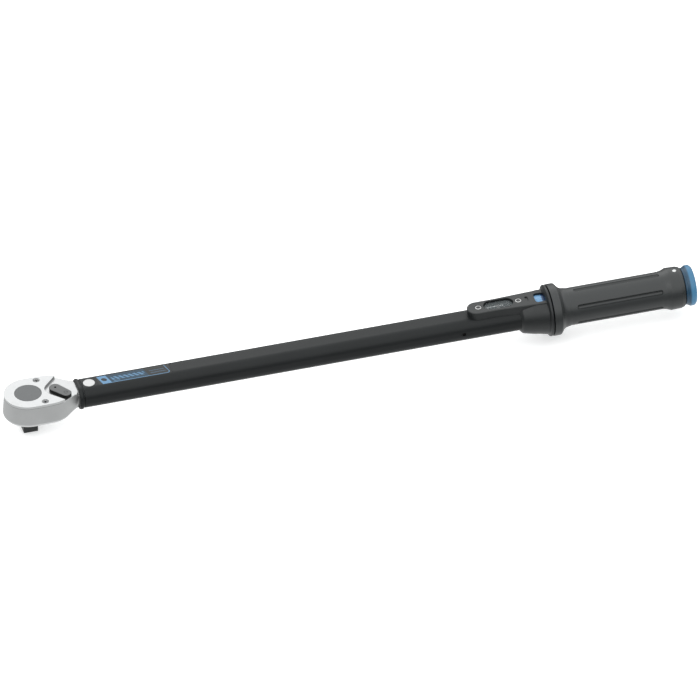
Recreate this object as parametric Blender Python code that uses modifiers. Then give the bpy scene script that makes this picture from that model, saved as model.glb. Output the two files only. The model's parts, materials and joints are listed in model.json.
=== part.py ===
"""Half-inch click torque wrench: ratchet head, oval tube, scale housing, turning grip and lock knob.

+X runs from the drive axis to the lock knob, +Z points out of the head's cover. The origin is the
centre of the drive square's end face. Dimensions are millimetres, made metres where they meet Blender.
"""
import bmesh
import bpy
from math import atan2, cos, pi, radians, sin, tau

MM = 0.001
GAP = 0.3  # between faces that rest on each other
FINE_GAP = 0.15  # between flat or round faces that fit each other
ROUND = 32  # sides of a large turned piece
SMALL_ROUND = 16
AXIS_Z = 26.5  # height of the tool's long axis over the end of the square

SQUARE = 12.7
SQUARE_LENGTH = 15.5
SQUARE_CHAMFER = 0.5
HEAD_R = 22.0
HEAD_BOTTOM = SQUARE_LENGTH
RECESS_Z = 34.8  # floor of the lever recess, under the cover plate
COVER_TOP = 37.0
BOSS_R = 10.0
BOSS_BOTTOM = HEAD_BOTTOM - 0.9
WHEEL_TIP_R = 13.4
WHEEL_ROOT_R = 12.7
WHEEL_TEETH = 36
DISC_R = 11.7
WHEEL_FLOOR = 20.2
WHEEL_BOTTOM = 21.2
POCKET_FLOOR = 21.0
POCKET_ROOF = 32.6
COVER_SCREW_AT = (11.25, 15.8)
COVER_SCREW_R = 2.8
SCREW_SHANK_R = 1.5
PAWL_PIN_X = 16.3
PAWL_FRONT_R = 14.3
PAWL_BACK_R = 5.6
PAWL_LEAN = radians(2.0)
LEVER_X = 24.0
LEVER_LENGTH = 12.0
LEVER_PIVOT_R = 5.3
LEVER_TIP_R = 4.4
LEVER_REST = radians(-53.7)
LEVER_TOP = 38.0
LEVER_SHAFT_R = 3.0
PLUNGER_Z = 27.0
BALL_R = 2.0
BALL_Z = 6.0
BALL_PROUD = 0.6

PIVOT_X = 53.6
PIVOT_R = 5.2
BUSH_R = 6.9
NECK = (10.2, 8.1, 6.0)  # half width, half height, corner radius
TANG_END = 72.0
ARM_PIN_X = 67.5
ARM_END = 150.0
COLLAR_START = 42.4
TUBE_START = 47.1
TUBE_END = 556.0
TUBE_OUT = (13.2, 10.0, 8.6)
TUBE_IN = (11.6, 8.4, 7.0)
SLIDING = (11.3, 8.1, 6.7)
BLOCK_LENGTH = 12.0
THRUST_START = ARM_END + 1.0 + BLOCK_LENGTH + 1.0
THRUST_END = 185.5
CARRIAGE_START = 368.0
CARRIAGE_END = 418.0
STOP_PIN_X = 380.9
TRAVEL = 10.0
SPINDLE_R = 5.0
SPINDLE_START = 386.0
SPINDLE_END = 569.0
COLLAR_R = 8.0

SADDLE_FRONT = 387.3
SADDLE_HALF = 8.7
SADDLE_TOP = 16.2
WINDOW_X = 414.9
WINDOW_HALF = 12.8
WINDOW_R = 6.15
HOUSING_SCREWS = (397.1, 432.4)
CONE_START = 433.0
CONE_END = 454.0
RIM_START = 455.5
RIM_END = 458.4
RIM_R = 22.3
BORE_R = 15.4
DRUM_START = 444.6
DRUM_END = 470.0
DRUM_R = 15.0

GRIP_START = 459.3
FLANGE_R = 22.5
FLANGE_END = 466.0
GRIP_R = 16.2
GRIP_BORE = 13.9
FLARE_R = 18.2
GRIP_END = 577.0
FLUTES = 6
FLUTE_FROM = 481.0
FLUTE_TO = 557.0
DOT_X = 570.6
HUB_START = 557.3
HUB_END = 563.0
KNOB_BAND_R = 16.0
KNOB_RIM_R = 16.7
KNOB_RIM_START = 582.0
KNOB_END = 586.5

PAINTS = {
    "forged_chrome": ((0.72, 0.73, 0.73), 0.35, 1.0),
    "dark_steel": ((0.09, 0.09, 0.09), 0.45, 1.0),
    "bright_steel": ((0.6, 0.6, 0.6), 0.25, 1.0),
    "black_coat": ((0.03, 0.032, 0.034), 0.45, 0.0),
    "grey_plastic": ((0.06, 0.066, 0.068), 0.6, 0.0),
    "blue_plastic": ((0.02, 0.12, 0.32), 0.35, 0.0),
    "light_blue": ((0.08, 0.28, 0.5), 0.35, 0.0),
    "white_paint": ((0.8, 0.8, 0.8), 0.5, 0.0),
    "clear": ((0.85, 0.9, 0.92), 0.05, 0.0),
    "bronze": ((0.45, 0.27, 0.11), 0.4, 1.0),
    "black_rubber": ((0.02, 0.02, 0.02), 0.8, 0.0),
}


def clear_scene():
    for obj in list(bpy.data.objects):
        bpy.data.objects.remove(obj, do_unlink=True)


def collection(name):
    made = bpy.data.collections.new(name)
    bpy.context.scene.collection.children.link(made)
    return made


def paint(obj, finish):
    color, roughness, metallic = PAINTS[finish]
    mat = bpy.data.materials.new(obj.name + "_" + finish)
    mat.use_nodes = True
    shader = mat.node_tree.nodes["Principled BSDF"]
    shader.inputs["Base Color"].default_value = (*color, 1.0)
    shader.inputs["Roughness"].default_value = roughness
    shader.inputs["Metallic"].default_value = metallic
    obj.data.materials.clear()
    obj.data.materials.append(mat)


def place(name, mesh, home, at=(0, 0, 0), turn=(0, 0, 0)):
    """A new object with this mesh, moved to a point in millimetres."""
    obj = bpy.data.objects.new(name, mesh)
    home.objects.link(obj)
    obj.location = [v * MM for v in at]
    obj.rotation_euler = turn
    return obj


def as_mesh(obj):
    """The mesh that an object's modifiers or curve settings give, closed, in its own space."""
    bpy.context.view_layer.update()
    view = bpy.context.evaluated_depsgraph_get()
    mesh = bpy.data.meshes.new_from_object(obj.evaluated_get(view))
    shell = bmesh.new()
    shell.from_mesh(mesh)
    bmesh.ops.remove_doubles(shell, verts=shell.verts, dist=0.002 * MM)
    shell.to_mesh(mesh)
    shell.free()
    return mesh


def fixed(obj, home):
    """The same object with its modifiers or curve turned into plain mesh."""
    made = bpy.data.objects.new(obj.name, as_mesh(obj))
    home.objects.link(made)
    made.matrix_world = obj.matrix_world
    name = obj.name
    bpy.data.objects.remove(obj, do_unlink=True)
    made.name = name
    return made


AXIS_TURN = {"Z": (0, 0, 0), "X": (0, pi / 2, 0), "Y": (-pi / 2, 0, 0)}
SECTION_TURN = {"Z": (0, 0, 0), "X": (pi / 2, 0, pi / 2)}


def turned(name, profile, axis="X", at=(0, 0, AXIS_Z), steps=ROUND):
    """A turned solid: profile points are (radius, place along the axis), from the far end back."""
    mesh = bpy.data.meshes.new(name)
    closed = profile[0][0] > 0
    edges = [(i, i + 1) for i in range(len(profile) - 1)]
    if closed:
        edges.append((len(profile) - 1, 0))
    mesh.from_pydata([(r * MM, 0, h * MM) for r, h in profile], edges, [])
    obj = place(name, mesh, PARTS, at, AXIS_TURN[axis])
    screw = obj.modifiers.new("turn", "SCREW")
    screw.steps = steps
    screw.render_steps = steps
    screw.use_merge_vertices = True
    screw.merge_threshold = 0.00001
    return fixed(obj, PARTS)


def ring(name, outer, inner, low, high, axis="X", at=(0, 0, AXIS_Z), steps=ROUND):
    return turned(name, [(outer, high), (outer, low), (inner, low), (inner, high)], axis, at, steps)


def rod(name, radius, low, high, axis="X", at=(0, 0, AXIS_Z), steps=SMALL_ROUND):
    return turned(name, [(0, high), (radius, high), (radius, low), (0, low)], axis, at, steps)


def prism(name, outlines, low, high, axis="Z", at=(0, 0, 0)):
    """Flat outlines, the later ones holes, made solid from low to high along an axis."""
    curve = bpy.data.curves.new(name, "CURVE")
    curve.dimensions = "2D"
    curve.fill_mode = "BOTH"
    curve.extrude = (high - low) / 2 * MM
    for outline in outlines:
        spline = curve.splines.new("POLY")
        spline.points.add(len(outline) - 1)
        for point, (x, y) in zip(spline.points, outline):
            point.co = (x * MM, y * MM, 0, 1)
        spline.use_cyclic_u = True
    middle = (low + high) / 2
    offset = (at[0] + middle, at[1], at[2]) if axis == "X" else (at[0], at[1], at[2] + middle)
    obj = place(name, curve, PARTS, offset, SECTION_TURN[axis])
    return fixed(obj, PARTS)


def block(name, low, high):
    """A box between two corners, with its scale in its mesh."""
    shell = bmesh.new()
    bmesh.ops.create_cube(shell, size=1.0)
    size = [(b - a) * MM for a, b in zip(low, high)]
    bmesh.ops.scale(shell, vec=size, verts=shell.verts)
    mesh = bpy.data.meshes.new(name)
    shell.to_mesh(mesh)
    shell.free()
    return place(name, mesh, PARTS, [(a + b) / 2 for a, b in zip(low, high)])


def coil(name, radius, wire, low, high, turns, axis="X", at=(0, 0, AXIS_Z), points=9):
    """A round-wire spring whose ends lie inside low and high."""
    curve = bpy.data.curves.new(name, "CURVE")
    curve.dimensions = "3D"
    curve.bevel_depth = wire * MM
    curve.bevel_resolution = 2
    curve.use_fill_caps = True
    count = turns * points + 1
    spline = curve.splines.new("POLY")
    spline.points.add(count - 1)
    start = low + wire * 1.3
    length = high - low - 2.6 * wire
    for i, point in enumerate(spline.points):
        angle = tau * i / points
        along = start + length * i / (count - 1)
        point.co = (radius * cos(angle) * MM, radius * sin(angle) * MM, along * MM, 1)
    return fixed(place(name, curve, PARTS, at, AXIS_TURN[axis]), PARTS)


def bevel(obj, width, segments=2, angle=40):
    edge = obj.modifiers.new("edges", "BEVEL")
    edge.width = width * MM
    edge.segments = segments
    edge.limit_method = "ANGLE"
    edge.angle_limit = radians(angle)
    return obj


def tool(obj):
    """Turns a shape into a cutter or a guide, kept out of the part."""
    PARTS.objects.unlink(obj)
    CUTTERS.objects.link(obj)
    obj.hide_render = True
    obj.display_type = "WIRE"
    return obj


def boolean(obj, other, operation):
    step = obj.modifiers.new(operation.lower() + "_" + other.name, "BOOLEAN")
    step.operation = operation
    step.object = tool(other)
    step.solver = "EXACT"
    return obj


def cut(obj, *cutters):
    for cutter in cutters:
        boolean(obj, cutter, "DIFFERENCE")
    return obj


def join(obj, *others):
    for other in others:
        boolean(obj, other, "UNION")
    return obj


def arc(radius, start, end, steps, centre=(0, 0)):
    """Points on an arc, angles in degrees, both ends included."""
    angles = [radians(start + (end - start) * i / steps) for i in range(steps + 1)]
    return [(centre[0] + radius * cos(a), centre[1] + radius * sin(a)) for a in angles]


def rounded(half_width, half_height, corner, steps=4, grow=0.0):
    """A rectangle with round corners, grown all round by grow."""
    w, h, r = half_width - corner, half_height - corner, corner + grow
    points = []
    for x, y, start in ((w, h, 0), (-w, h, 90), (-w, -h, 180), (w, -h, 270)):
        points += arc(r, start, start + 90, steps, (x, y))
    return points


def slot(half_length, radius, steps=6):
    """A straight slot with round ends, along its first axis."""
    reach = half_length - radius
    right = arc(radius, -90, 90, steps, (reach, 0))
    left = arc(radius, 90, 270, steps, (-reach, 0))
    return right + left


def head_side():
    """The head's outline on the +Y side, from the far end of the round to the neck."""
    return [(12.0, 21.9), (19.0, 21.6), (25.0, 20.4), (30.0, 17.9), (35.0, 14.2), (39.0, 11.3), (42.0, 9.4)]


def head_outline():
    upper = head_side()
    lower = [(x, -y) for x, y in reversed(upper)]
    return arc(HEAD_R, 80, 280, 20) + list(reversed(lower)) + list(reversed(upper))


def cover_outline():
    """The head's outline as far as the lever recess, whose edge is an arc about the lever and two lines."""
    corner = (28.8, 18.5)
    flank = [(x, y) for x, y in head_side() if x < corner[0]]
    recess = arc(9.3, 136.6, 223.4, 10, (LEVER_X, 0))
    near = [(x, -y) for x, y in flank] + [(corner[0], -corner[1])]
    far = [corner] + list(reversed(flank))
    return arc(HEAD_R, 80, 280, 20) + near + list(reversed(recess)) + far


def gear_outline():
    """Fine straight teeth."""
    points = []
    for i in range(WHEEL_TEETH):
        for share, radius in ((0.0, WHEEL_ROOT_R), (0.5, WHEEL_TIP_R)):
            angle = tau * (i + share) / WHEEL_TEETH
            points.append((radius * cos(angle), radius * sin(angle)))
    return points


def lever_outline():
    """Two circles and the lines that touch both."""
    lean = 90 - atan2(LEVER_PIVOT_R - LEVER_TIP_R, LEVER_LENGTH) * 180 / pi
    heel = arc(LEVER_PIVOT_R, lean, 360 - lean, 12)
    tip = arc(LEVER_TIP_R, -lean, lean, 8, (LEVER_LENGTH, 0))
    return heel + tip


def pawl_outline():
    """A rocking pawl about its own pin: toothed towards the wheel, hollow towards the plunger."""
    front = []
    teeth = 14
    for i in range(2 * teeth + 1):
        angle = radians(31 - 62 * i / (2 * teeth))
        radius = PAWL_FRONT_R + (0.5 if i % 2 else 0.0)
        front.append((radius * cos(angle), radius * sin(angle)))
    back = arc(PAWL_BACK_R, 240, 120, 10, (LEVER_X, 0))
    ends = [(14.5, -8.3), (20.0, -8.2)]
    far = [(x, -y) for x, y in reversed(ends)]
    return [(x - PAWL_PIN_X, y) for x, y in front + ends + back + far]


def countersunk_screw(name, at, axis, head_r, top, length, steps=SMALL_ROUND):
    """A flush screw with a cross recess; top is its face along the axis."""
    neck = top - (head_r - SCREW_SHANK_R)
    profile = [(0, top), (head_r, top), (head_r, top - 0.25), (SCREW_SHANK_R, neck - 0.25)]
    profile += [(SCREW_SHANK_R, top - length), (0, top - length)]
    screw = turned(name, profile, axis, at, steps)
    arm, width, depth = head_r * 0.62, 0.4, 1.0
    for i, (a, b) in enumerate(((arm, width), (width, arm))):
        if axis == "Z":
            low = (at[0] - a, at[1] - b, at[2] + top - depth)
            high = (at[0] + a, at[1] + b, at[2] + top + 1)
        else:
            low = (at[0] + top - depth, at[1] - a, at[2] - b)
            high = (at[0] + top + 1, at[1] + a, at[2] + b)
        cut(screw, block(f"{name}_recess_{i}", low, high))
    return screw


def ratchet_head():
    body = prism("ratchet_head", [head_outline()], HEAD_BOTTOM, RECESS_Z - FINE_GAP)
    under = body.modifiers.new("underside", "BEVEL")
    under.width = 1.6 * MM
    under.segments = 1
    under.limit_method = "ANGLE"
    under.angle_limit = radians(60)
    neck = prism("neck", [rounded(*NECK)], 30, TANG_END, "X", (0, 0, AXIS_Z))
    join(body, neck)
    slope = prism("underside_slope", [[(25, 10), (50, 10), (50, 18.4), (42, 18.4), (25, 15.2)]], -30, 30)
    slope.rotation_euler = (pi / 2, 0, 0)
    slope.location = (0, 0, 0)
    cut(
        body,
        slope,
        rod("wheel_room", WHEEL_TIP_R + 0.4, WHEEL_FLOOR, RECESS_Z + 1, "Z", (0, 0, 0), ROUND),
        rod("boss_hole", BOSS_R + GAP, HEAD_BOTTOM - 2, WHEEL_FLOOR + 1, "Z", (0, 0, 0), ROUND),
        prism("pawl_room", [rounded(10.75, 9.0, 3.0, 3)], POCKET_FLOOR, POCKET_ROOF, "Z", (18.75, 0, 0)),
        rod("lever_hole", LEVER_SHAFT_R + GAP, 18.5, RECESS_Z + 1, "Z", (LEVER_X, 0, 0)),
        rod("pawl_pin_hole", 1.1 + FINE_GAP, 18.2, 34.0, "Z", (PAWL_PIN_X, 0, 0), 16),
        rod("pivot_hole", BUSH_R + FINE_GAP, 10, 45, "Z", (PIVOT_X, 0, 0)),
        rod("spigot_hole", 4.0, 62.6, TANG_END + 1),
        rod("arm_pin_hole", 1.4, 10, 45, "Z", (ARM_PIN_X, 0, 0), 16),
    )
    for side in (1, -1):
        spot = (COVER_SCREW_AT[0], side * COVER_SCREW_AT[1], 0)
        cut(body, rod(f"thread_hole_{side}", SCREW_SHANK_R + 0.25, 27.7, RECESS_Z + 1, "Z", spot, 16))
    paint(body, "forged_chrome")


def cover_plate():
    plate = prism("cover_plate", [cover_outline()], RECESS_Z, COVER_TOP)
    bevel(plate, 0.8, 1, 60)
    cut(plate, rod("disc_hole", DISC_R + 0.25, RECESS_Z - 1, COVER_TOP + 1, "Z", (0, 0, 0), ROUND))
    for side in (1, -1):
        spot = (COVER_SCREW_AT[0], side * COVER_SCREW_AT[1], 0)
        r, shank = COVER_SCREW_R + 0.25, SCREW_SHANK_R + 0.25
        sink = [(0, COVER_TOP + 1), (r, COVER_TOP + 1), (r, COVER_TOP - 0.35)]
        sink += [(shank, COVER_TOP - 0.35 - (r - shank)), (shank, RECESS_Z - 1), (0, RECESS_Z - 1)]
        cut(plate, turned(f"countersink_{side}", sink, "Z", spot, SMALL_ROUND))
    paint(plate, "forged_chrome")
    for number, side in enumerate((1, -1), 1):
        spot = (COVER_SCREW_AT[0], side * COVER_SCREW_AT[1], 0)
        screw = countersunk_screw(f"cover_screw_{number}", spot, "Z", COVER_SCREW_R, COVER_TOP - 0.1, 8.6)
        paint(screw, "dark_steel")


def drive_wheel():
    wheel = prism("drive_wheel", [gear_outline()], WHEEL_BOTTOM, RECESS_Z - 0.4)
    top = rod("wheel_disc", DISC_R, 30, COVER_TOP, "Z", (0, 0, 0), ROUND)
    boss = rod("wheel_boss", BOSS_R, BOSS_BOTTOM, 30.5, "Z", (0, 0, 0), ROUND)
    half = SQUARE / 2
    square = block("square", (-half, -half, 0), (half, half, 25))
    bevel(square, SQUARE_CHAMFER, 1)
    join(wheel, top, boss, fixed(square, PARTS))
    cut(wheel, rod("ball_hole", BALL_R + 0.2, -2.2, half + 1, "Y", (0, 0, BALL_Z)))
    paint(wheel, "dark_steel")
    paint(coil("detent_spring", 1.4, 0.25, -2.0, 2.75, 3, "Y", (0, 0, BALL_Z), 6), "bright_steel")
    paint(ring("wheel_washer", 13.5, BOSS_R + GAP, 20.4, 21.0, "Z", (0, 0, 0)), "bronze")


def detent_ball():
    shell = bmesh.new()
    bmesh.ops.create_uvsphere(shell, u_segments=12, v_segments=8, radius=BALL_R * MM)
    mesh = bpy.data.meshes.new("detent_ball")
    shell.to_mesh(mesh)
    shell.free()
    ball = place("detent_ball", mesh, PARTS, (0, SQUARE / 2 - BALL_R + BALL_PROUD, BALL_Z))
    paint(ball, "bright_steel")


def reversing_lever():
    at = (LEVER_X, 0, 0)
    lever = prism("reversing_lever", [lever_outline()], RECESS_Z + 0.2, LEVER_TOP, "Z", at)
    bevel(lever, 0.4, 1, 60)
    r = LEVER_SHAFT_R
    shaft = [(0, 36.0), (r, 36.0), (r, 34.5), (2.2, 34.5), (2.2, 33.0), (r, 33.0), (r, 32.3)]
    shaft += [(2.3, 32.3), (2.3, 31.2), (r, 31.2), (r, 19.0), (0, 19.0)]
    join(lever, turned("lever_shaft", shaft, "Z", at, SMALL_ROUND))
    hole = rod("plunger_hole", 1.35, -2.0, 4.0, "X", (0, 0, PLUNGER_Z), 16)
    hole.rotation_euler = (0, -pi / 2, 0)
    hole.location = (LEVER_X * MM, 0, PLUNGER_Z * MM)
    dimple = rod("lever_dimple", 0.75, LEVER_TOP - 0.4, LEVER_TOP + 1, "Z", at, 12)
    cut(lever, hole, dimple)
    paint(lever, "dark_steel")
    plunger = turned("pawl_plunger", [(0, 5.0), (0.6, 4.8), (1.2, 4.0), (1.2, 1.4), (0, 1.4)], "X", at, 16)
    spring = coil("plunger_spring", 0.85, 0.15, -1.85, 1.3, 3, "X", at, 6)
    for piece, finish in ((plunger, "bright_steel"), (spring, "bright_steel")):
        piece.rotation_euler = (0, -pi / 2, 0)
        piece.location = (LEVER_X * MM, 0, PLUNGER_Z * MM)
        paint(piece, finish)
    seal = ring("lever_seal", 3.2, 2.35, 33.2, 34.3, "Z", at, SMALL_ROUND)
    paint(seal, "black_rubber")
    clip = prism("lever_circlip", [circlip_outline(4.6, 2.45)], 31.4, 32.1, "Z", at)
    paint(clip, "dark_steel")
    swing = bpy.data.objects.new("lever_axis", None)
    PARTS.objects.link(swing)
    swing.location = (LEVER_X * MM, 0, 0)
    bpy.context.view_layer.update()
    for piece in (lever, plunger, spring, seal, clip, hole, dimple, bpy.data.objects["lever_shaft"]):
        piece.parent = swing
        piece.matrix_parent_inverse = swing.matrix_world.inverted()
    swing.rotation_euler = (0, 0, LEVER_REST)


def circlip_outline(outer, inner):
    return arc(outer, 25, 335, 20) + arc(inner, 335, 25, 20)


def pawl():
    piece = prism("pawl", [pawl_outline()], POCKET_FLOOR + 0.4, POCKET_ROOF - 0.4, "Z", (PAWL_PIN_X, 0, 0))
    piece.rotation_euler = (0, 0, PAWL_LEAN)
    cut(piece, rod("pawl_bore", 1.25, POCKET_FLOOR, POCKET_ROOF, "Z", (PAWL_PIN_X, 0, 0), 16))
    paint(piece, "dark_steel")
    paint(rod("pawl_pin", 1.1, 18.4, 33.8, "Z", (PAWL_PIN_X, 0, 0), 16), "bright_steel")


def click_arm():
    arm = block("lever_arm", (TANG_END + GAP, -7, AXIS_Z - 6), (ARM_END, 7, AXIS_Z + 6))
    bevel(arm, 1.2, 2)
    join(arm, rod("arm_spigot", 3.8, 62.9, TANG_END + 3))
    cut(arm, rod("spigot_pin_hole", 1.4, 10, 45, "Z", (ARM_PIN_X, 0, 0), 16))
    paint(arm, "dark_steel")
    paint(rod("arm_pin", 1.25, AXIS_Z - 7.7, AXIS_Z + 7.7, "Z", (ARM_PIN_X, 0, 0), 16), "bright_steel")
    bush = ring("pivot_bush", BUSH_R, PIVOT_R + FINE_GAP, AXIS_Z - 7.8, AXIS_Z + 7.8, "Z", (PIVOT_X, 0, 0), 24)
    paint(bush, "bronze")
    front = ARM_END + 1.0
    tilt = block("tilt_block", (front, -3.5, AXIS_Z - 5), (front + BLOCK_LENGTH, 3.5, AXIS_Z + 5))
    paint(bevel(tilt, 0.5, 2), "bright_steel")


def front_collar():
    at = (0, 0, AXIS_Z)
    collar = prism("front_collar", [rounded(14.0, 10.8, 9.4)], COLLAR_START, 45.4, "X", at)
    bevel(collar, 0.7, 1)
    join(collar, prism("collar_rear", [rounded(*TUBE_OUT)], 44, TUBE_START - GAP, "X", at))
    cut(collar, prism("collar_hole", [rounded(10.95, 8.55, 6.4)], 40, 50, "X", at))
    paint(collar, "black_coat")


def tube():
    at = (0, 0, AXIS_Z)
    body = prism("tube", [rounded(*TUBE_OUT), rounded(*TUBE_IN)], TUBE_START, TUBE_END, "X", at)
    pointer_slot = block("pointer_slot", (402, 0.4, AXIS_Z + 5), (428, 4.5, AXIS_Z + 12))
    cut(
        body,
        rod("tube_pivot_hole", PIVOT_R + FINE_GAP, 10, 45, "Z", (PIVOT_X, 0, 0)),
        rod("stop_pin_hole", 1.85, -20, -9, "Y", (STOP_PIN_X, 0, AXIS_Z), 16),
        pointer_slot,
    )
    for number, x in enumerate(HOUSING_SCREWS, 1):
        cut(body, rod(f"tube_screw_hole_{number}", 1.75, AXIS_Z + 5, AXIS_Z + 12, "Z", (x, 0, 0), 16))
    cut(body, rod("tube_plug_hole", 1.5, AXIS_Z - 15, AXIS_Z + 15, "Z", (549.5, 8.3, 0), 16))
    paint(body, "black_coat")
    pin = rod("pivot_pin", PIVOT_R, AXIS_Z - 10, AXIS_Z + 10, "Z", (PIVOT_X, 0, 0))
    paint(bevel(pin, 0.3, 1), "bright_steel")
    stop = rod("anti_rotation_pin", 1.7, -12.6, -9.7, "Y", (STOP_PIN_X, 0, AXIS_Z), 16)
    paint(stop, "dark_steel")


def spring_column():
    profile = [(0, THRUST_END), (3.5, THRUST_END), (3.5, 180.0), (8.0, 180.0), (8.0, THRUST_START)]
    plunger = turned("thrust_plunger", profile + [(0, THRUST_START)], steps=32)
    paint(plunger, "bright_steel")
    paint(coil("main_spring", 6.2, 1.55, 180.3, CARRIAGE_START - 3.8, 14, points=8), "dark_steel")
    seat = ring("spring_seat", 8.0, 3.0, CARRIAGE_START - 3.5, CARRIAGE_START - GAP, steps=32)
    paint(seat, "bright_steel")


def carriage():
    at = (0, 0, AXIS_Z)
    nut = prism("carriage_nut", [rounded(*SLIDING)], CARRIAGE_START, CARRIAGE_END, "X", at)
    reach = TRAVEL + 2.2
    guide = block("stop_slot", (STOP_PIN_X - reach, -13, AXIS_Z - 2.0), (STOP_PIN_X + reach, -9.3, AXIS_Z + 2.0))
    cut(nut, rod("nut_thread", SPINDLE_R + GAP, 374, CARRIAGE_END + 1), guide)
    paint(nut, "bright_steel")
    foot = block("scale_pointer", (WINDOW_X - 1.5, 0.9, AXIS_Z + 8.25), (WINDOW_X + 1.5, 3.6, AXIS_Z + 12.6))
    tongue = block("pointer_tongue", (WINDOW_X - 0.6, -2.6, AXIS_Z + 11.8), (WINDOW_X + 0.6, 3.0, AXIS_Z + 12.5))
    paint(join(foot, tongue), "white_paint")


def spindle():
    screw = [(0, SPINDLE_END), (3.5, SPINDLE_END), (3.5, 556.4), (SPINDLE_R, 556.4), (SPINDLE_R, 537.0)]
    screw += [(COLLAR_R, 537.0), (COLLAR_R, 533.0), (SPINDLE_R, 533.0), (SPINDLE_R, SPINDLE_START)]
    paint(turned("spindle", screw + [(0, SPINDLE_START)], steps=32), "bright_steel")
    bore = SPINDLE_R + GAP
    paint(ring("thrust_washer_front", 8.0, bore, 537.3, 538.5, steps=32), "bright_steel")
    paint(ring("bearing_cage", 7.9, bore, 538.8, 541.3, steps=32), "bronze")
    paint(ring("thrust_washer_rear", 8.0, bore, 541.6, 542.8, steps=32), "bright_steel")
    plug = prism("end_plug", [rounded(*SLIDING)], 543.1, TUBE_END - 0.2, "X", (0, 0, AXIS_Z))
    cut(plug, rod("plug_bore", bore, 540, 560, steps=32))
    cut(plug, rod("plug_pin_hole", 1.5, AXIS_Z - 15, AXIS_Z + 15, "Z", (549.5, 8.3, 0), 16))
    paint(plug, "bright_steel")
    paint(rod("plug_pin", 1.3, AXIS_Z - 8.9, AXIS_Z + 8.9, "Z", (549.5, 8.3, 0), 16), "dark_steel")


def scale_housing():
    at = (0, 0, AXIS_Z)
    nose = arc(SADDLE_HALF, 90, 270, 14, (SADDLE_FRONT + SADDLE_HALF, 0))
    plan = nose + [(440.0, -SADDLE_HALF), (440.0, SADDLE_HALF)]
    housing = prism("scale_housing", [plan], AXIS_Z + 7.5, AXIS_Z + SADDLE_TOP + 2)
    cone = [(RIM_R - 0.5, RIM_END), (RIM_R, RIM_END - 0.5), (RIM_R, RIM_START + 0.3), (20.9, RIM_START)]
    cone += [(20.3, CONE_END), (15.9, CONE_START + 1.5), (15.0, CONE_START), (9.0, CONE_START), (9.0, RIM_END)]
    join(housing, turned("housing_sleeve", cone))
    cut(housing, block("flat_top", (380, -25, AXIS_Z + SADDLE_TOP), (455.0, 25, AXIS_Z + 30)))
    section = rounded(*TUBE_OUT, grow=0.2)
    cut(
        housing,
        prism("tube_room", [section], 380, 444, "X", at),
        rod("drum_room", BORE_R, 443.4, 462, steps=ROUND),
        prism("scale_window", [slot(WINDOW_HALF, WINDOW_R)], AXIS_Z + 5, AXIS_Z + 20, "Z", (WINDOW_X, 0.3, 0)),
        block("drum_window", (444.6, -8.0, AXIS_Z + 5), (455.3, 6.7, AXIS_Z + 25)),
        block("index_slot", (439.2, -3.5, AXIS_Z + SADDLE_TOP - 0.8), (440.5, 3.5, AXIS_Z + 20)),
    )
    for number, x in enumerate(HOUSING_SCREWS, 1):
        cut(housing, rod(f"housing_hole_{number}", 1.75, AXIS_Z + 5, AXIS_Z + 20, "Z", (x, 0, 0), 16))
        well = rod(f"housing_well_{number}", 2.9, AXIS_Z + 13.7, AXIS_Z + 20, "Z", (x, 0, 0))
        cut(housing, well)
    paint(housing, "grey_plastic")
    for number, x in enumerate(HOUSING_SCREWS, 1):
        top = AXIS_Z + SADDLE_TOP
        head = [(0, top - 0.9), (1.1, top - 0.9), (1.1, top - 0.1), (2.7, top - 0.1), (2.7, top - 2.3)]
        head += [(SCREW_SHANK_R, top - 2.3), (SCREW_SHANK_R, AXIS_Z + 8.7), (0, AXIS_Z + 8.7)]
        paint(turned(f"housing_screw_{number}", head, "Z", (x, 0, 0), SMALL_ROUND), "bright_steel")


def window_pieces():
    at = (WINDOW_X, 0.3, 0)
    lens = prism("scale_lens", [slot(WINDOW_HALF - 0.2, WINDOW_R - 0.2)], AXIS_Z + 13.3, AXIS_Z + 14.1, "Z", at)
    paint(lens, "clear")
    plate = block("scale_plate", (405.8, -5.0, AXIS_Z + 10.7), (424.0, 0.2, AXIS_Z + 11.4))
    paint(plate, "white_paint")
    paint(ring("micrometer_drum", DRUM_R, GRIP_BORE, DRUM_START, DRUM_END), "light_blue")


def grip_profile():
    """Outer side from the knob end to the flange, then the bores back."""
    reach, drop = 10.0, FLANGE_R - 0.9 - GRIP_R
    hollow = []
    for i in range(7):
        angle = i / 6 * pi / 2
        hollow.append((FLANGE_R - 0.9 - drop * sin(angle), FLANGE_END + 0.5 + reach * (1 - cos(angle))))
    outer = [(15.9, GRIP_END), (17.2, GRIP_END - 0.9), (18.0, GRIP_END - 2.3), (FLARE_R, GRIP_END - 4.0)]
    outer += [(FLARE_R, 564.0), (17.6, 562.0), (16.6, 559.8), (GRIP_R, 558.0)]
    outer += list(reversed(hollow))
    outer += [(FLANGE_R, FLANGE_END - 0.6), (FLANGE_R, GRIP_START + 0.5), (FLANGE_R - 0.5, GRIP_START)]
    inner = [(DRUM_R + GAP, GRIP_START), (DRUM_R + GAP, DRUM_END + 0.4), (GRIP_BORE, DRUM_END + 0.4)]
    inner += [(GRIP_BORE, 565.0), (15.0, 565.0), (15.0, GRIP_END)]
    return outer + inner


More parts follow.
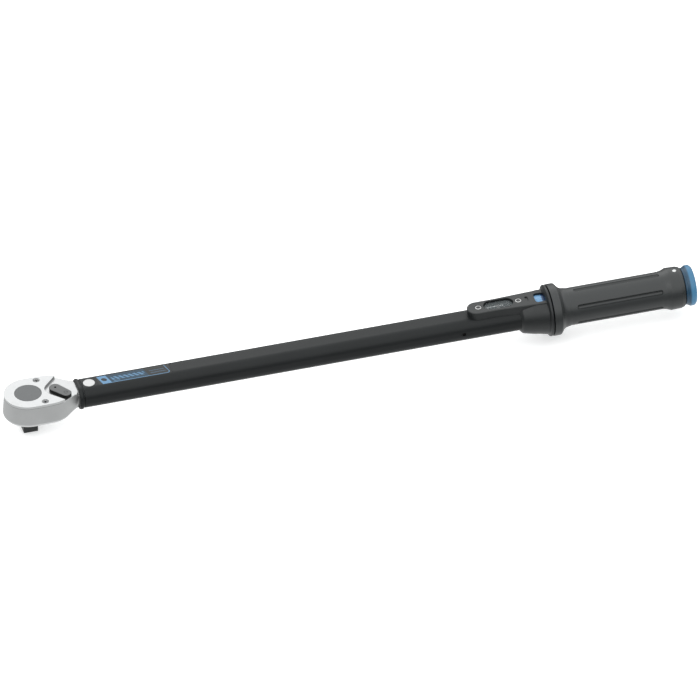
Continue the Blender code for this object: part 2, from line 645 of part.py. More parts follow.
def grip():
    body = turned("grip", grip_profile())
    sink = 1.4
    radius = 2.6
    for i in range(FLUTES):
        ends = [(r, FLUTE_TO - radius + h) for h, r in arc(radius, 0, 90, 4)]
        ends += [(r, FLUTE_FROM + radius + h) for h, r in arc(radius, 90, 180, 4)]
        flute = turned(f"flute_{i}", [(abs(r) if abs(r) > 1e-6 else 0, h) for r, h in ends], "X", steps=10)
        angle = tau * i / FLUTES
        flute.location.y += (GRIP_R + sink) * sin(angle) * MM
        flute.location.z += (GRIP_R + sink) * cos(angle) * MM
        cut(body, flute)
    cut(body, rod("dot_hole", 1.95, AXIS_Z + FLARE_R - 1.1, AXIS_Z + 25, "Z", (DOT_X, 0, 0), 16))
    paint(body, "grey_plastic")
    dot = rod("index_dot", 1.75, AXIS_Z + FLARE_R - 0.9, AXIS_Z + FLARE_R, "Z", (DOT_X, 0, 0), 16)
    paint(dot, "white_paint")


def drive_hub():
    hub = ring("drive_hub", GRIP_BORE - GAP, 3.7, HUB_START, HUB_END)
    for side in (1, -1):
        low, high = sorted((side * 9.1, side * 12.6))
        cut(hub, block(f"dog_slot_{side}", (HUB_START - 1, low, AXIS_Z - 2.9), (HUB_END + 1, high, AXIS_Z + 2.9)))
    paint(hub, "bright_steel")
    nut = prism("spindle_nut", [arc(6.2, 0, 300, 5), arc(3.65, 0, 345, 23)], HUB_END + GAP, 566.8, "X", (0, 0, AXIS_Z))
    paint(nut, "bright_steel")


def lock_knob():
    web = 578.0
    shape = [(0, 581.8), (KNOB_BAND_R, 581.8), (KNOB_BAND_R, GRIP_END + GAP), (14.7, GRIP_END + GAP)]
    shape += [(14.7, 571.2), (14.0, 571.2), (14.0, 569.8), (14.7, 569.8)]
    shape += [(14.7, 567.0), (13.0, 567.0), (13.0, web), (0, web)]
    knob = turned("lock_knob", shape)
    for side in (1, -1):
        low, high = sorted((side * 9.5, side * 12.2))
        join(knob, block(f"lock_dog_{side}", (556.8, low, AXIS_Z - 2.5), (web + 0.5, high, AXIS_Z + 2.5)))
    cut(knob, rod("knob_screw_hole", 1.75, 579.0, 590))
    paint(knob, "blue_plastic")
    rim = [(15.2, KNOB_END), (16.2, KNOB_END - 0.4), (KNOB_RIM_R, KNOB_END - 1.4), (KNOB_RIM_R, 583.0)]
    rim += [(16.3, KNOB_RIM_START), (13.6, KNOB_RIM_START), (13.6, KNOB_END)]
    paint(turned("knob_rim", rim), "light_blue")
    face, r, shank = KNOB_END - 0.5, 3.2, SCREW_SHANK_R + 0.25
    cap = [(r + 0.25, face), (13.3, face), (13.3, KNOB_RIM_START), (shank, KNOB_RIM_START)]
    cap += [(shank, face - 0.35 - (r + 0.25 - shank)), (r + 0.25, face - 0.35)]
    paint(turned("knob_cap", cap), "blue_plastic")
    screw = countersunk_screw("knob_screw", (0, 0, AXIS_Z), "X", r, face - 0.1, 6.6)
    paint(screw, "dark_steel")
    snap = prism("knob_snap_ring", [circlip_outline(14.8, 14.15)], 570.1, 570.9, "X", (0, 0, AXIS_Z))
    paint(snap, "bright_steel")


def build():
    ratchet_head()
    cover_plate()
    drive_wheel()
    detent_ball()
    reversing_lever()
    pawl()
    click_arm()
    front_collar()
    tube()
    spring_column()
    carriage()
    spindle()
    scale_housing()
    window_pieces()
    grip()
    drive_hub()
    lock_knob()


clear_scene()
PARTS = collection("torque_wrench")
CUTTERS = collection("cutters")
build()
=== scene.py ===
import json
from math import atan2, cos, pi, radians, sin, tan

import bmesh
import bpy
from mathutils import Matrix, Vector


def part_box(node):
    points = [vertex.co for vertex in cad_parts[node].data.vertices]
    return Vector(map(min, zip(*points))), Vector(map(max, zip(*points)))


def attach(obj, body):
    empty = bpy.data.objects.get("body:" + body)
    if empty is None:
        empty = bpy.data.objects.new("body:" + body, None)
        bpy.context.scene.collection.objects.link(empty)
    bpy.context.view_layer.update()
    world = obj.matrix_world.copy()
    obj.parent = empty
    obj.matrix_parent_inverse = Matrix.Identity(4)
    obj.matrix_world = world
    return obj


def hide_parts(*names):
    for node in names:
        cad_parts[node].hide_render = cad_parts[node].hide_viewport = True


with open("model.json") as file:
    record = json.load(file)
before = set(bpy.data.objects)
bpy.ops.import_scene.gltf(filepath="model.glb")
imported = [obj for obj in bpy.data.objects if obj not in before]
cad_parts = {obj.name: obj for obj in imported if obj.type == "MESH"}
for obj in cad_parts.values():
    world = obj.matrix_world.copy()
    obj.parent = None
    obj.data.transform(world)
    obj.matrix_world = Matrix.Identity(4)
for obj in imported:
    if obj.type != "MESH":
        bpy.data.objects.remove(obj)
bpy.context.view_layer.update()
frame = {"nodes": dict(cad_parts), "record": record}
mm = 0.001


def span(node):  # a CAD node's corners in millimetres
    low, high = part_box(node)
    return low / mm, high / mm


tubeLow, tubeHigh = span("tube")
headLow, headHigh = span("ratchet_head")
coverLow, coverHigh = span("cover_plate")
gripLow, gripHigh = span("grip")
houseLow, houseHigh = span("scale_housing")
axisZ = (tubeLow.z + tubeHigh.z) / 2
leverX, pivotX = 24.0, 53.6  # where the lever and the head turn
coverScrewSpot = (11.25, 15.8)  # and its mirror image
housingScrewX = (397.1, 432.4)
dotX = 570.6


def makeCamera():
    look = {"azimuth": 13.94, "elevation": 36.3, "roll": 1.75, "lens": 1500.0, "frameWidth": 596.8,
            "sensor": 36, "aim": (273.96, 36.59, 57)}
    turn, tilt, roll = (radians(look[key]) for key in ("azimuth", "elevation", "roll"))
    right = Vector((cos(turn), -sin(turn), 0))
    ahead = Vector((sin(turn) * cos(tilt), cos(turn) * cos(tilt), -sin(tilt)))
    top = right.cross(ahead)
    rolledRight = right * cos(roll) - top * sin(roll)
    rolledTop = right * sin(roll) + top * cos(roll)
    across, up, beyond = look["aim"]  # from the middle of the drive's disc
    aim = Vector((0, 0, coverHigh.z)) + rolledRight * across + rolledTop * up + ahead * beyond
    data = bpy.data.cameras.new("camera")
    data.lens = look["lens"]
    data.sensor_width = look["sensor"]
    data.clip_start = 0.1
    data.clip_end = 200
    camera = bpy.data.objects.new("camera", data)
    bpy.context.scene.collection.objects.link(camera)
    distance = look["frameWidth"] * look["lens"] / look["sensor"]
    turned = Matrix((rolledRight, rolledTop, -ahead)).transposed()
    camera.matrix_world = Matrix.Translation((aim - ahead * distance) * mm) @ turned.to_4x4()
    bpy.context.scene.camera = camera


def makeWorld():  # a bright dome over a dark horizon and a half-bright ground
    glow = {"ground": 0.95, "front": 0.22, "back": 0.3, "high": 1.65,
            "turn": (-0.3, 0.3), "fade": (-0.7, -0.3), "horizon": (0.02, 0.4), "tint": (0.985, 1.0, 1.0, 1)}
    world = bpy.data.worlds.new("studio")
    bpy.context.scene.world = world
    world.use_nodes = True
    tree = world.node_tree
    where = tree.nodes.new("ShaderNodeTexCoord")
    apart = tree.nodes.new("ShaderNodeSeparateXYZ")
    tree.links.new(where.outputs["Generated"], apart.inputs[0])

    def ramp(source, low, high, first, last):
        node = tree.nodes.new("ShaderNodeMapRange")
        node.interpolation_type = "SMOOTHSTEP"
        tree.links.new(source, node.inputs[0])
        for i, value in enumerate((low, high, first, last), 1):
            if isinstance(value, bpy.types.NodeSocket):
                tree.links.new(value, node.inputs[i])
            else:
                node.inputs[i].default_value = value
        return node.outputs[0]

    dark = ramp(apart.outputs["Y"], *glow["turn"], glow["front"], glow["back"])
    low = ramp(apart.outputs["Z"], *glow["fade"], glow["ground"], dark)
    strength = ramp(apart.outputs["Z"], *glow["horizon"], low, glow["high"])
    background = tree.nodes["Background"]
    background.inputs["Color"].default_value = glow["tint"]
    tree.links.new(strength, background.inputs["Strength"])
    bpy.context.scene.view_settings.view_transform = "Standard"


def makeLights():
    lamps = {
        "keyLight": {"at": (-0.5, -0.9, 1.5), "size": 0.9, "power": 2.5},
        "backLight": {"at": (0.2, 1.5, 1.15), "size": 1.0, "power": 3.0},
    }
    middle = Vector((0.28, 0, 0.02))
    for name, lamp in lamps.items():
        data = bpy.data.lights.new(name, "AREA")
        data.shape = "SQUARE"
        data.size = lamp["size"]
        data.energy = lamp["power"]
        light = bpy.data.objects.new(name, data)
        bpy.context.scene.collection.objects.link(light)
        light.location = lamp["at"]
        light.rotation_mode = "QUATERNION"
        light.rotation_quaternion = (middle - light.location).to_track_quat("-Z", "Y")


class Wire:  # a socket that takes part in sums
    def __init__(self, shade, socket):
        self.shade = shade
        self.socket = socket

    def maths(self, operation, *others):
        values = {i: value for i, value in enumerate((self, *others))}
        return self.shade.node("Math", {"operation": operation}, values)

    def __add__(self, other):
        return self.maths("ADD", other)

    __radd__ = __add__

    def __sub__(self, other):
        return self.maths("SUBTRACT", other)

    def __rsub__(self, other):
        return self.shade.node("Math", {"operation": "SUBTRACT"}, {0: other, 1: self})

    def __mul__(self, other):
        return self.maths("MULTIPLY", other)

    __rmul__ = __mul__

    def size(self):
        return self.maths("ABSOLUTE")

    def over(self, edge):  # 1 where it is above the edge
        return self.maths("GREATER_THAN", edge)

    def under(self, edge):
        return self.maths("LESS_THAN", edge)

    def most(self, other):
        return self.maths("MAXIMUM", other)

    def root(self):
        return self.maths("SQRT")

    def ramp(self, low, high, first=0.0, last=1.0):  # eases from first to last between low and high
        settings = {"interpolation_type": "SMOOTHSTEP", "clamp": True}
        return self.shade.node("MapRange", settings, {0: self, 1: low, 2: high, 3: first, 4: last})


class Shade:
    def __init__(self, name, metallic=0.0, coat=0.0, coatRoughness=0.1, gloss=0.5):
        self.material = bpy.data.materials.new(name)
        self.material.use_nodes = True
        self.tree = self.material.node_tree
        self.surface = self.tree.nodes["Principled BSDF"]
        self.surface.inputs["Metallic"].default_value = metallic
        self.surface.inputs["Coat Weight"].default_value = coat
        self.surface.inputs["Coat Roughness"].default_value = coatRoughness
        self.surface.inputs["Specular IOR Level"].default_value = gloss
        where = self.tree.nodes.new("ShaderNodeTexCoord")
        self.place = Wire(self, where.outputs["Object"])
        apart = self.tree.nodes.new("ShaderNodeSeparateXYZ")
        self.tree.links.new(where.outputs["Object"], apart.inputs[0])
        self.x, self.y, self.z = (Wire(self, out) * 1000.0 for out in apart.outputs)  # millimetres

    def node(self, kind, settings, inputs, output=0):
        made = self.tree.nodes.new("ShaderNode" + kind)
        for key, value in settings.items():
            setattr(made, key, value)
        for key, value in inputs.items():
            if isinstance(value, Wire):
                self.tree.links.new(value.socket, made.inputs[key])
            else:
                made.inputs[key].default_value = value
        return Wire(self, made.outputs[output])

    def noise(self, grain, detail=2.0, rough=0.5, place=None):  # grain is a blotch's size in millimetres
        scale = 1000.0 / grain
        inputs = {"Vector": place or self.place, "Scale": scale, "Detail": detail, "Roughness": rough}
        return self.node("TexNoise", {}, inputs)

    def stretched(self, x, y, z):
        return self.node("VectorMath", {"operation": "MULTIPLY"}, {0: self.place, 1: (x, y, z)})

    def mix(self, share, first, second):
        first, second = (tone if isinstance(tone, Wire) else (*tone, 1.0) for tone in (first, second))
        return self.node("Mix", {"data_type": "RGBA"}, {0: share, 6: first, 7: second}, 2)

    def bump(self, height, distance, strength=1.0):  # distance in millimetres
        inputs = {"Strength": strength, "Distance": distance * mm, "Height": height}
        return self.node("Bump", {}, inputs)

    def give(self, color, roughness, bump=None, alpha=None):  # bump is a height, a distance and a strength
        wires = {"Base Color": color, "Roughness": roughness, "Alpha": alpha,
                 "Normal": self.bump(*bump) if bump else None}
        for name, value in wires.items():
            if value:
                self.tree.links.new(value.socket, self.surface.inputs[name])
        return self.material


def shaded(color, share):
    return tuple(value * share for value in color)


def satinChrome(name, topZ, shadowed=False):  # ground bright above topZ, blasted dimmer below
    shade = Shade(name, metallic=1.0)
    ground = shade.z.ramp(topZ, topZ + 0.25)
    cloud = shade.noise(14.0, 3.0)
    grain = shade.noise(0.35, 3.0, 0.6)
    tones = {"blasted": ((0.66, 0.665, 0.665), (0.72, 0.725, 0.725)),
             "ground": ((0.355, 0.358, 0.361), (0.395, 0.398, 0.401)), "cut": (0.30, 0.302, 0.304)}
    blasted = shade.mix(cloud, *tones["blasted"])
    bright = shade.mix(cloud, *tones["ground"])
    tone = shade.mix(ground, blasted, bright)
    if shadowed:  # painted shade: the cover's carved rear wall gets a dark base, standing for the shadow of its step
        wallShadeMask = shade.x.over(14.5) * shade.y.size().under(17.4) * shade.z.under(topZ)
        tone = shade.mix(wallShadeMask, tone, tones["cut"])
    smudge = shade.noise(5.0, 4.0, 0.65).ramp(0.45, 0.75)
    roughness = 0.40 + (cloud - 0.5) * 0.10 + (grain - 0.5) * 0.08 + smudge * 0.05 - ground * 0.06
    height = grain * (1.0 - ground * 0.6)
    return shade.give(tone, roughness, (height, 0.02, 0.35))


def darkSteel(name, color=(0.16, 0.16, 0.165), softness=0.42, topZ=None):
    shade = Shade(name, metallic=0.85)
    cloud = shade.noise(4.0, 4.0, 0.6)
    grain = shade.noise(0.25, 2.0)
    tone = shade.mix(cloud, shaded(color, 0.85), shaded(color, 1.1))
    if topZ is not None:  # only the top face is ground, the rest stays black
        tone = shade.mix(shade.z.ramp(topZ, topZ + 0.4), (0.02, 0.021, 0.021), tone)
    roughness = softness + (cloud - 0.5) * 0.2 + (grain - 0.5) * 0.1
    return shade.give(tone, roughness, (grain, 0.015, 0.4))


def brightSteel(name, color=(0.72, 0.72, 0.71), softness=0.25, lengthwise=True):
    shade = Shade(name, metallic=1.0)
    scratch = shade.noise(0.3, 3.0, 0.6, shade.stretched(0.05, 1.0, 1.0) if lengthwise else shade.place)
    cloud = shade.noise(6.0, 3.0)
    tone = shade.mix(cloud, shaded(color, 0.9), color)
    roughness = softness + (scratch - 0.5) * 0.15 + (cloud - 0.5) * 0.1
    return shade.give(tone, roughness, (scratch, 0.008, 0.4))


def turnedFace(name, color, softness):  # fine rings from the lathe, about the drive axis
    shade = Shade(name, metallic=0.9)
    radius = (shade.x * shade.x + shade.y * shade.y).root()
    ringWave = shade.node("Math", {"operation": "SINE"}, {0: radius * 22.0})
    cloud = shade.noise(5.0, 4.0, 0.6)
    grain = shade.noise(0.3, 2.0)
    below = shade.z.ramp(15.0, 16.5, 1.0, 0.0)  # the square is blacker than the disc
    ringShare = shade.z.ramp(34.0, 36.5)
    tone = shade.mix(cloud, shaded(color, 0.85), color)
    tone = shade.mix(below, tone, shade.mix(cloud, (0.04, 0.042, 0.042), (0.07, 0.072, 0.072)))
    roughness = softness + (cloud - 0.5) * 0.15 + ringWave * 0.02
    height = ringWave * ringShare * 0.25 + grain * 0.5
    return shade.give(tone, roughness, (height, 0.012, 0.5))


def powderCoat(name):
    shade = Shade(name, gloss=0.22)
    peel = shade.noise(0.9, 2.0, 0.5)
    fine = shade.noise(0.22, 2.0, 0.5)
    cloud = shade.noise(30.0, 3.0)
    tone = shade.mix(cloud, (0.0065, 0.0075, 0.008), (0.009, 0.0105, 0.011))
    scuff = shade.noise(1.2, 5.0, 0.7, shade.stretched(0.08, 1.0, 1.0)).ramp(0.66, 0.78)
    tone = shade.mix(scuff * 0.2, tone, (0.04, 0.043, 0.045))
    roughness = 0.40 + (peel - 0.5) * 0.12 + (cloud - 0.5) * 0.08 + scuff * 0.08
    height = peel * 0.7 + fine * 0.3
    return shade.give(tone, roughness, (height, 0.05, 0.45))


def mouldedPlastic(name, color, softness, grainDepth=0.03, gloss=0.5):
    shade = Shade(name, gloss=gloss)
    cells = shade.noise(0.32, 3.0, 0.65)
    cloud = shade.noise(18.0, 3.0)
    worn = shade.noise(3.0, 5.0, 0.7).ramp(0.6, 0.78)
    tone = shade.mix(cloud, shaded(color, 0.92), shaded(color, 1.06))
    tone = shade.mix(worn * 0.12, tone, [value * 1.5 + 0.01 for value in color])
    roughness = softness + (cells - 0.5) * 0.14 - worn * 0.06
    return shade.give(tone, roughness, (cells, grainDepth, 0.6))


def cloudy(name, blotch, tones, softness, bump, metallic=0.0):  # softness is a middle and a spread
    shade = Shade(name, metallic=metallic)
    cloud = shade.noise(*blotch)
    middle, spread = softness
    return shade.give(shade.mix(cloud, *tones), middle + (cloud - 0.5) * spread, (cloud, *bump))


def whitePaint(name, level=1.0):
    tones = (shaded((0.50, 0.51, 0.51), level), shaded((0.58, 0.58, 0.57), level))
    return cloudy(name, (0.8, 3.0), tones, (0.42, 0.1), (0.01, 0.3))


def bronzeMetal(name):
    tones = ((0.36, 0.2, 0.08), (0.55, 0.34, 0.15))
    return cloudy(name, (2.0, 4.0, 0.6), tones, (0.38, 0.2), (0.01, 0.4), 1.0)


def rubber(name):
    tones = ((0.012, 0.012, 0.012), (0.022, 0.022, 0.022))
    return cloudy(name, (0.6, 3.0), tones, (0.75, 0.1), (0.01, 0.4))


def clearWindow(name):
    shade = Shade(name, coat=0.3, coatRoughness=0.03)
    haze = shade.noise(2.0, 4.0, 0.6)
    shade.surface.inputs["IOR"].default_value = 1.49
    tone = shade.mix(haze, (0.5, 0.56, 0.58), (0.6, 0.66, 0.68))
    return shade.give(tone, 0.06 + haze * 0.05, (haze, 0.004, 0.2), 0.05 + haze * 0.04)


def floorPaint(name):
    shade = Shade(name)
    cloud = shade.noise(400.0, 2.0)
    tone = shade.mix(cloud, (0.79, 0.79, 0.79), (0.81, 0.81, 0.81))
    shade.surface.inputs["Emission Color"].default_value = (1.0, 1.0, 1.0, 1.0)
    shade.surface.inputs["Emission Strength"].default_value = 0.4
    return shade.give(tone, 0.7 + (cloud - 0.5) * 0.05)


def calm():
    if bpy.context.object and bpy.context.object.mode != "OBJECT":
        bpy.ops.object.mode_set(mode="OBJECT")
    bpy.ops.object.select_all(action="DESELECT")


def hold(piece):
    calm()
    piece.select_set(True)
    bpy.context.view_layer.objects.active = piece


def edit(piece):
    hold(piece)
    bpy.ops.object.mode_set(mode="EDIT")


def mid(item):  # the middle of a vertex, edge or face, in millimetres
    if isinstance(item, bmesh.types.BMVert):
        return item.co / mm
    if isinstance(item, bmesh.types.BMEdge):
        return (item.verts[0].co + item.verts[1].co) / 2 / mm
    return item.calc_center_median() / mm


def pick(kind, test):
    piece = bpy.context.edit_object
    bpy.ops.mesh.select_mode(type=kind)
    bpy.ops.mesh.select_all(action="DESELECT")
    cage = bmesh.from_edit_mesh(piece.data)
    items = {"VERT": cage.verts, "EDGE": cage.edges, "FACE": cage.faces}[kind]
    found = [item for item in items if test(item)]
    for item in found:
        item.select_set(True)
    cage.select_flush_mode()
    bmesh.update_edit_mesh(piece.data)
    return len(found)


def folded(edge, least=50):  # a crease of at least this many degrees
    return len(edge.link_faces) == 2 and edge.calc_face_angle(0) > radians(least)


def leads(edge, axis):  # an edge that runs along an axis
    way = (edge.verts[1].co - edge.verts[0].co).normalized()
    return abs(way[axis]) > 0.99


def upright(edge):
    return leads(edge, 2)


def flatRim(top):  # a test for the folded edges about a flat top
    return lambda e: folded(e) and mid(e).z > top - 0.01


def roundOff(test, width, steps):
    if pick("EDGE", test):
        bpy.ops.mesh.bevel(offset=width * mm, segments=steps, affect="EDGES", clamp_overlap=True)


def soften(piece, *rounds):  # each round is a test for edges, a width and a number of steps
    edit(piece)
    for test, width, steps in rounds:
        roundOff(test, width, steps)
    calm()
    return piece


def resizeAbout(spot, scale):
    bpy.ops.transform.resize(value=scale, center_override=Vector(spot) * mm)


def grow(test, move, scale=(1, 1, 1), about=None):  # extrudes the picked faces, then resizes them
    pick("FACE", test)
    bpy.ops.mesh.extrude_region_move(TRANSFORM_OT_translate={"value": Vector(move) * mm})
    if tuple(scale) != (1, 1, 1):
        resizeAbout(about, scale)


def apply(piece, kind, **settings):
    hold(piece)
    change = piece.modifiers.new(kind.lower(), kind)
    for key, value in settings.items():
        setattr(change, key, value)
    bpy.ops.object.modifier_apply(modifier=change.name)


def carve(piece, *tools, how="DIFFERENCE"):
    for tool in tools:
        apply(piece, "BOOLEAN", operation=how, solver="EXACT", object=tool)
        bpy.data.objects.remove(tool, do_unlink=True)
    return piece


def weld(piece, *others):
    return carve(piece, *others, how="UNION")


def newBox(name, low, high):
    calm()
    low, high = Vector(low) * mm, Vector(high) * mm
    bpy.ops.mesh.primitive_cube_add(size=1, location=(low + high) / 2, scale=high - low)
    piece = bpy.context.object
    piece.name = name
    bpy.ops.object.transform_apply(location=True, rotation=True, scale=True)
    return piece


axisTurn = {"Z": (0, 0, 0), "X": (0, pi / 2, 0), "Y": (pi / 2, 0, 0)}


def newRod(name, radius, low, high, along="X", centre=(0, 0), sides=64):
    # centre holds the two coordinates across the axis, in X, Y, Z order
    calm()
    middle = (low + high) / 2
    order = {"X": (middle, *centre), "Y": (centre[0], middle, centre[-1]), "Z": (*centre, middle)}[along]
    bpy.ops.mesh.primitive_cylinder_add(vertices=sides, radius=radius * mm, depth=(high - low) * mm,
                                        location=Vector(order) * mm, rotation=axisTurn[along])
    piece = bpy.context.object
    piece.name = name
    bpy.ops.object.transform_apply(location=True, rotation=True, scale=True)
    return piece


def softProfile(corners, steps=5):
    # a corner is a place, a radius and, where it is rounded, a rounding
    points = []
    for i, (place, radius, *rounding) in enumerate(corners):
        here = Vector((place, radius))
        if not rounding or i in (0, len(corners) - 1):
            points.append(here)
            continue
        soft = rounding[0]
        back = (Vector(corners[i - 1][:2]) - here).normalized()
        ahead = (Vector(corners[i + 1][:2]) - here).normalized()
        half = back.angle(ahead) / 2
        middle = here + (back + ahead).normalized() * soft / sin(half)
        start = here + back * soft / tan(half) - middle
        end = here + ahead * soft / tan(half) - middle
        sweep = atan2(start.x * end.y - start.y * end.x, start.dot(end))
        first = atan2(start.y, start.x)
        for k in range(steps + 1):
            angle = first + sweep * k / steps
            points.append(middle + Vector((cos(angle), sin(angle))) * soft)
    return points


def turnPiece(name, corners, along="X", centre=None, sides=128, steps=5):
    # a profile drawn vertex by vertex and spun about the axis; it closes on itself if it starts off the axis
    centre = centre or ((0, axisZ) if along == "X" else (0, 0))
    points = softProfile(corners, steps)
    if along == "X":
        spots = [Vector((p.x, centre[0], centre[1] + p.y)) for p in points]
        axis, middle = (1, 0, 0), (0, centre[0], centre[1])
    else:
        spots = [Vector((centre[0] + p.y, centre[1], p.x)) for p in points]
        axis, middle = (0, 0, 1), (centre[0], centre[1], 0)
    calm()
    bpy.ops.mesh.primitive_plane_add(size=mm)
    piece = bpy.context.object
    piece.name = name
    bpy.ops.object.mode_set(mode="EDIT")
    bpy.ops.mesh.select_mode(type="VERT")
    bpy.ops.mesh.select_all(action="SELECT")
    bpy.ops.mesh.merge(type="CENTER")
    bpy.ops.transform.translate(value=spots[0] * mm)
    for before, after in zip(spots, spots[1:]):
        bpy.ops.mesh.extrude_region_move(TRANSFORM_OT_translate={"value": (after - before) * mm})
    if corners[0][1] > 0:
        ends = (spots[0], spots[-1])
        pick("VERT", lambda v: min((v.co / mm - end).length for end in ends) < 1e-3)
        bpy.ops.mesh.edge_face_add()
    bpy.ops.mesh.select_all(action="SELECT")
    bpy.ops.mesh.spin(steps=sides, angle=2 * pi, center=Vector(middle) * mm, axis=axis)
    bpy.ops.mesh.select_all(action="SELECT")
    bpy.ops.mesh.remove_doubles(threshold=0.0005 * mm)
    bpy.ops.mesh.normals_make_consistent(inside=False)
    calm()
    return piece


def ovalBar(name, halfWidth, halfHeight, corner, low, high, steps=10):
    # a bar along X with rounded long edges, centred on the tool's axis
    piece = newBox(name, (low, -halfWidth, axisZ - halfHeight), (high, halfWidth, axisZ + halfHeight))
    return soften(piece, (lambda e: leads(e, 0), corner, steps))


def complete(piece, body, material, nodes=(), angle=35):
    hold(piece)
    bpy.ops.object.shade_smooth_by_angle(angle=radians(angle))
    apply(piece, "WEIGHTED_NORMAL", keep_sharp=True)
    piece.data.materials.clear()
    piece.data.materials.append(material)
    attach(piece, body)
    if nodes:
        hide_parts(*nodes)
    return piece


headShape = {
    "flank": ((12.0, 21.95), (19.0, 21.6), (23.0, 21.0), (27.4, 19.3), (30.0, 17.8), (33.0, 15.6),
              (36.0, 13.3), (39.0, 11.3), (42.0, 10.1)),  # x and half width
    "bottomRounding": 3.4,
    "draft": 0.945,
    "rimRounding": 0.6,
    "riseFrom": 27.0,
    "underRise": 2.9,
    "neck": (10.2, 8.1, 6.0),  # half width, half height, corner
    "wheelRoom": 13.8,
    "bossHole": 10.3,
    "pocket": ((8.0, -9.0, 21.0), (29.5, 9.0, 32.6)),
    "groundFrom": 34.35,
}


def headBlank(name, low, high, end):  # the head's outline as a slab, as far as x = end
    first, width = headShape["flank"][0]
    slab = newBox(name, (headLow.x, -headHigh.y, low), (first, headHigh.y, high))
    edit(slab)
    for x, nextWidth in headShape["flank"][1:]:
        if first >= end:
            break
        scale = (1, nextWidth / (headHigh.y if first == headShape["flank"][0][0] else width), 1)
        grow(lambda f: f.normal.x > 0.9, (x - first, 0, 0), scale, (x, 0, (low + high) / 2))
        first, width = x, nextWidth
    roundOff(lambda e: upright(e) and mid(e).x < headLow.x + 0.1, headHigh.y - 0.01, 28)
    return slab


def leanIn(floor):  # the head is a little narrower at its top
    draft = headShape["draft"]
    for end, scale in ((40, (1, draft, 1)), (11.9, (draft, 1, 1))):
        pick("VERT", lambda v: v.co.z / mm > floor and v.co.x / mm < end)
        resizeAbout((0, 0, 0), scale)


def flareHull(name):  # a funnel that rounds the head's corners into the neck
    half, height, corner = headShape["neck"]
    hull = ovalBar(name, half + 0.05, height + 0.05, corner, 42.5, 80.0)
    edit(hull)
    grow(lambda f: f.normal.x < -0.9, (-18, 0, 0), (1, 3.0, 3.0), (24.5, 0, axisZ))
    grow(lambda f: f.normal.x < -0.9, (-60, 0, 0))
    calm()
    return hull


def headForging():
    floor = coverLow.z - 0.03
    soft = headShape["bottomRounding"]
    riseFrom, riseTo = headShape["riseFrom"], headShape["flank"][-1][0]
    body = headBlank("headForging", headLow.z + soft, floor, riseTo)
    for x, _ in headShape["flank"]:
        if x > riseFrom:
            rise = headShape["underRise"] * (x - riseFrom) / (riseTo - riseFrom)
            pick("VERT", lambda v: v.co.z / mm < headLow.z + soft + 0.1 and abs(v.co.x / mm - x) < 0.1)
            bpy.ops.transform.translate(value=(0, 0, rise * mm))
    leanIn(floor - 0.1)
    pick("FACE", lambda f: f.normal.z < -0.8)
    reach, depth, rings = headHigh.y, 0.0, 8
    for i in range(1, rings + 1):  # the bottom edge, rounded ring by ring
        angle = i / rings * pi / 2
        nextReach, nextDepth = headHigh.y - soft * (1 - cos(angle)), soft * sin(angle)
        bpy.ops.mesh.extrude_region_move(TRANSFORM_OT_translate={"value": (0, 0, (depth - nextDepth) * mm)})
        resizeAbout((0, 0, 0), (nextReach / reach, nextReach / reach, 1))
        reach, depth = nextReach, nextDepth

    def upperRim(e):
        sides = [f.normal.z > 0.9 for f in e.link_faces]
        return len(sides) == 2 and sides[0] != sides[1] and 27.5 < mid(e).x < 41.9

    roundOff(upperRim, headShape["rimRounding"], 4)
    calm()
    carve(body, flareHull("flare"), how="INTERSECT")
    half, height, corner = headShape["neck"]
    weld(body, ovalBar("neck", half, height, corner, 30.0, 72.0))
    carve(
        body,
        newRod("room", headShape["wheelRoom"], 20.2, 40, "Z", (0, 0), 96),
        newRod("bossRoom", headShape["bossHole"], 10, 21, "Z", (0, 0), 96),
        soften(newBox("pocket", *headShape["pocket"]), (upright, 3.0, 4)),
        newRod("leverRoom", 3.3, 18.5, 40, "Z", (leverX, 0)),
        newRod("pinRoom", 1.25, 18.2, 34.0, "Z", (16.3, 0), 24),
        newRod("pivotRoom", 7.05, 10, 45, "Z", (pivotX, 0)),
        newRod("spigotRoom", 4.0, 62.6, 80, "X", (0, axisZ)),
        newRod("armPinRoom", 1.4, 10, 45, "Z", (67.5, 0), 24),
    )
    for side in (1, -1):
        spot = (coverScrewSpot[0], side * coverScrewSpot[1])
        carve(body, newRod("threadRoom", 1.75, 27.7, 40, "Z", spot, 24))
    soften(body, (lambda e: folded(e) and mid(e).z < headLow.z + 0.1 and mid(e).xy.length < 10.5, 0.4, 2))
    steel = satinChrome("satinChromeForging", headShape["groundFrom"])
    complete(body, "head", steel, ["ratchet_head"])


coverShape = {
    "recessRadius": 9.3,  # an arc about the lever with two lines tangent to it
    "recessSlope": 1.058,
    "end": 30.0,
    "discRoom": 11.7,
    "sink": ((1, 3.1), (-0.75, 3.0), (-1.9, 1.75)),  # height from the top, and radius
}


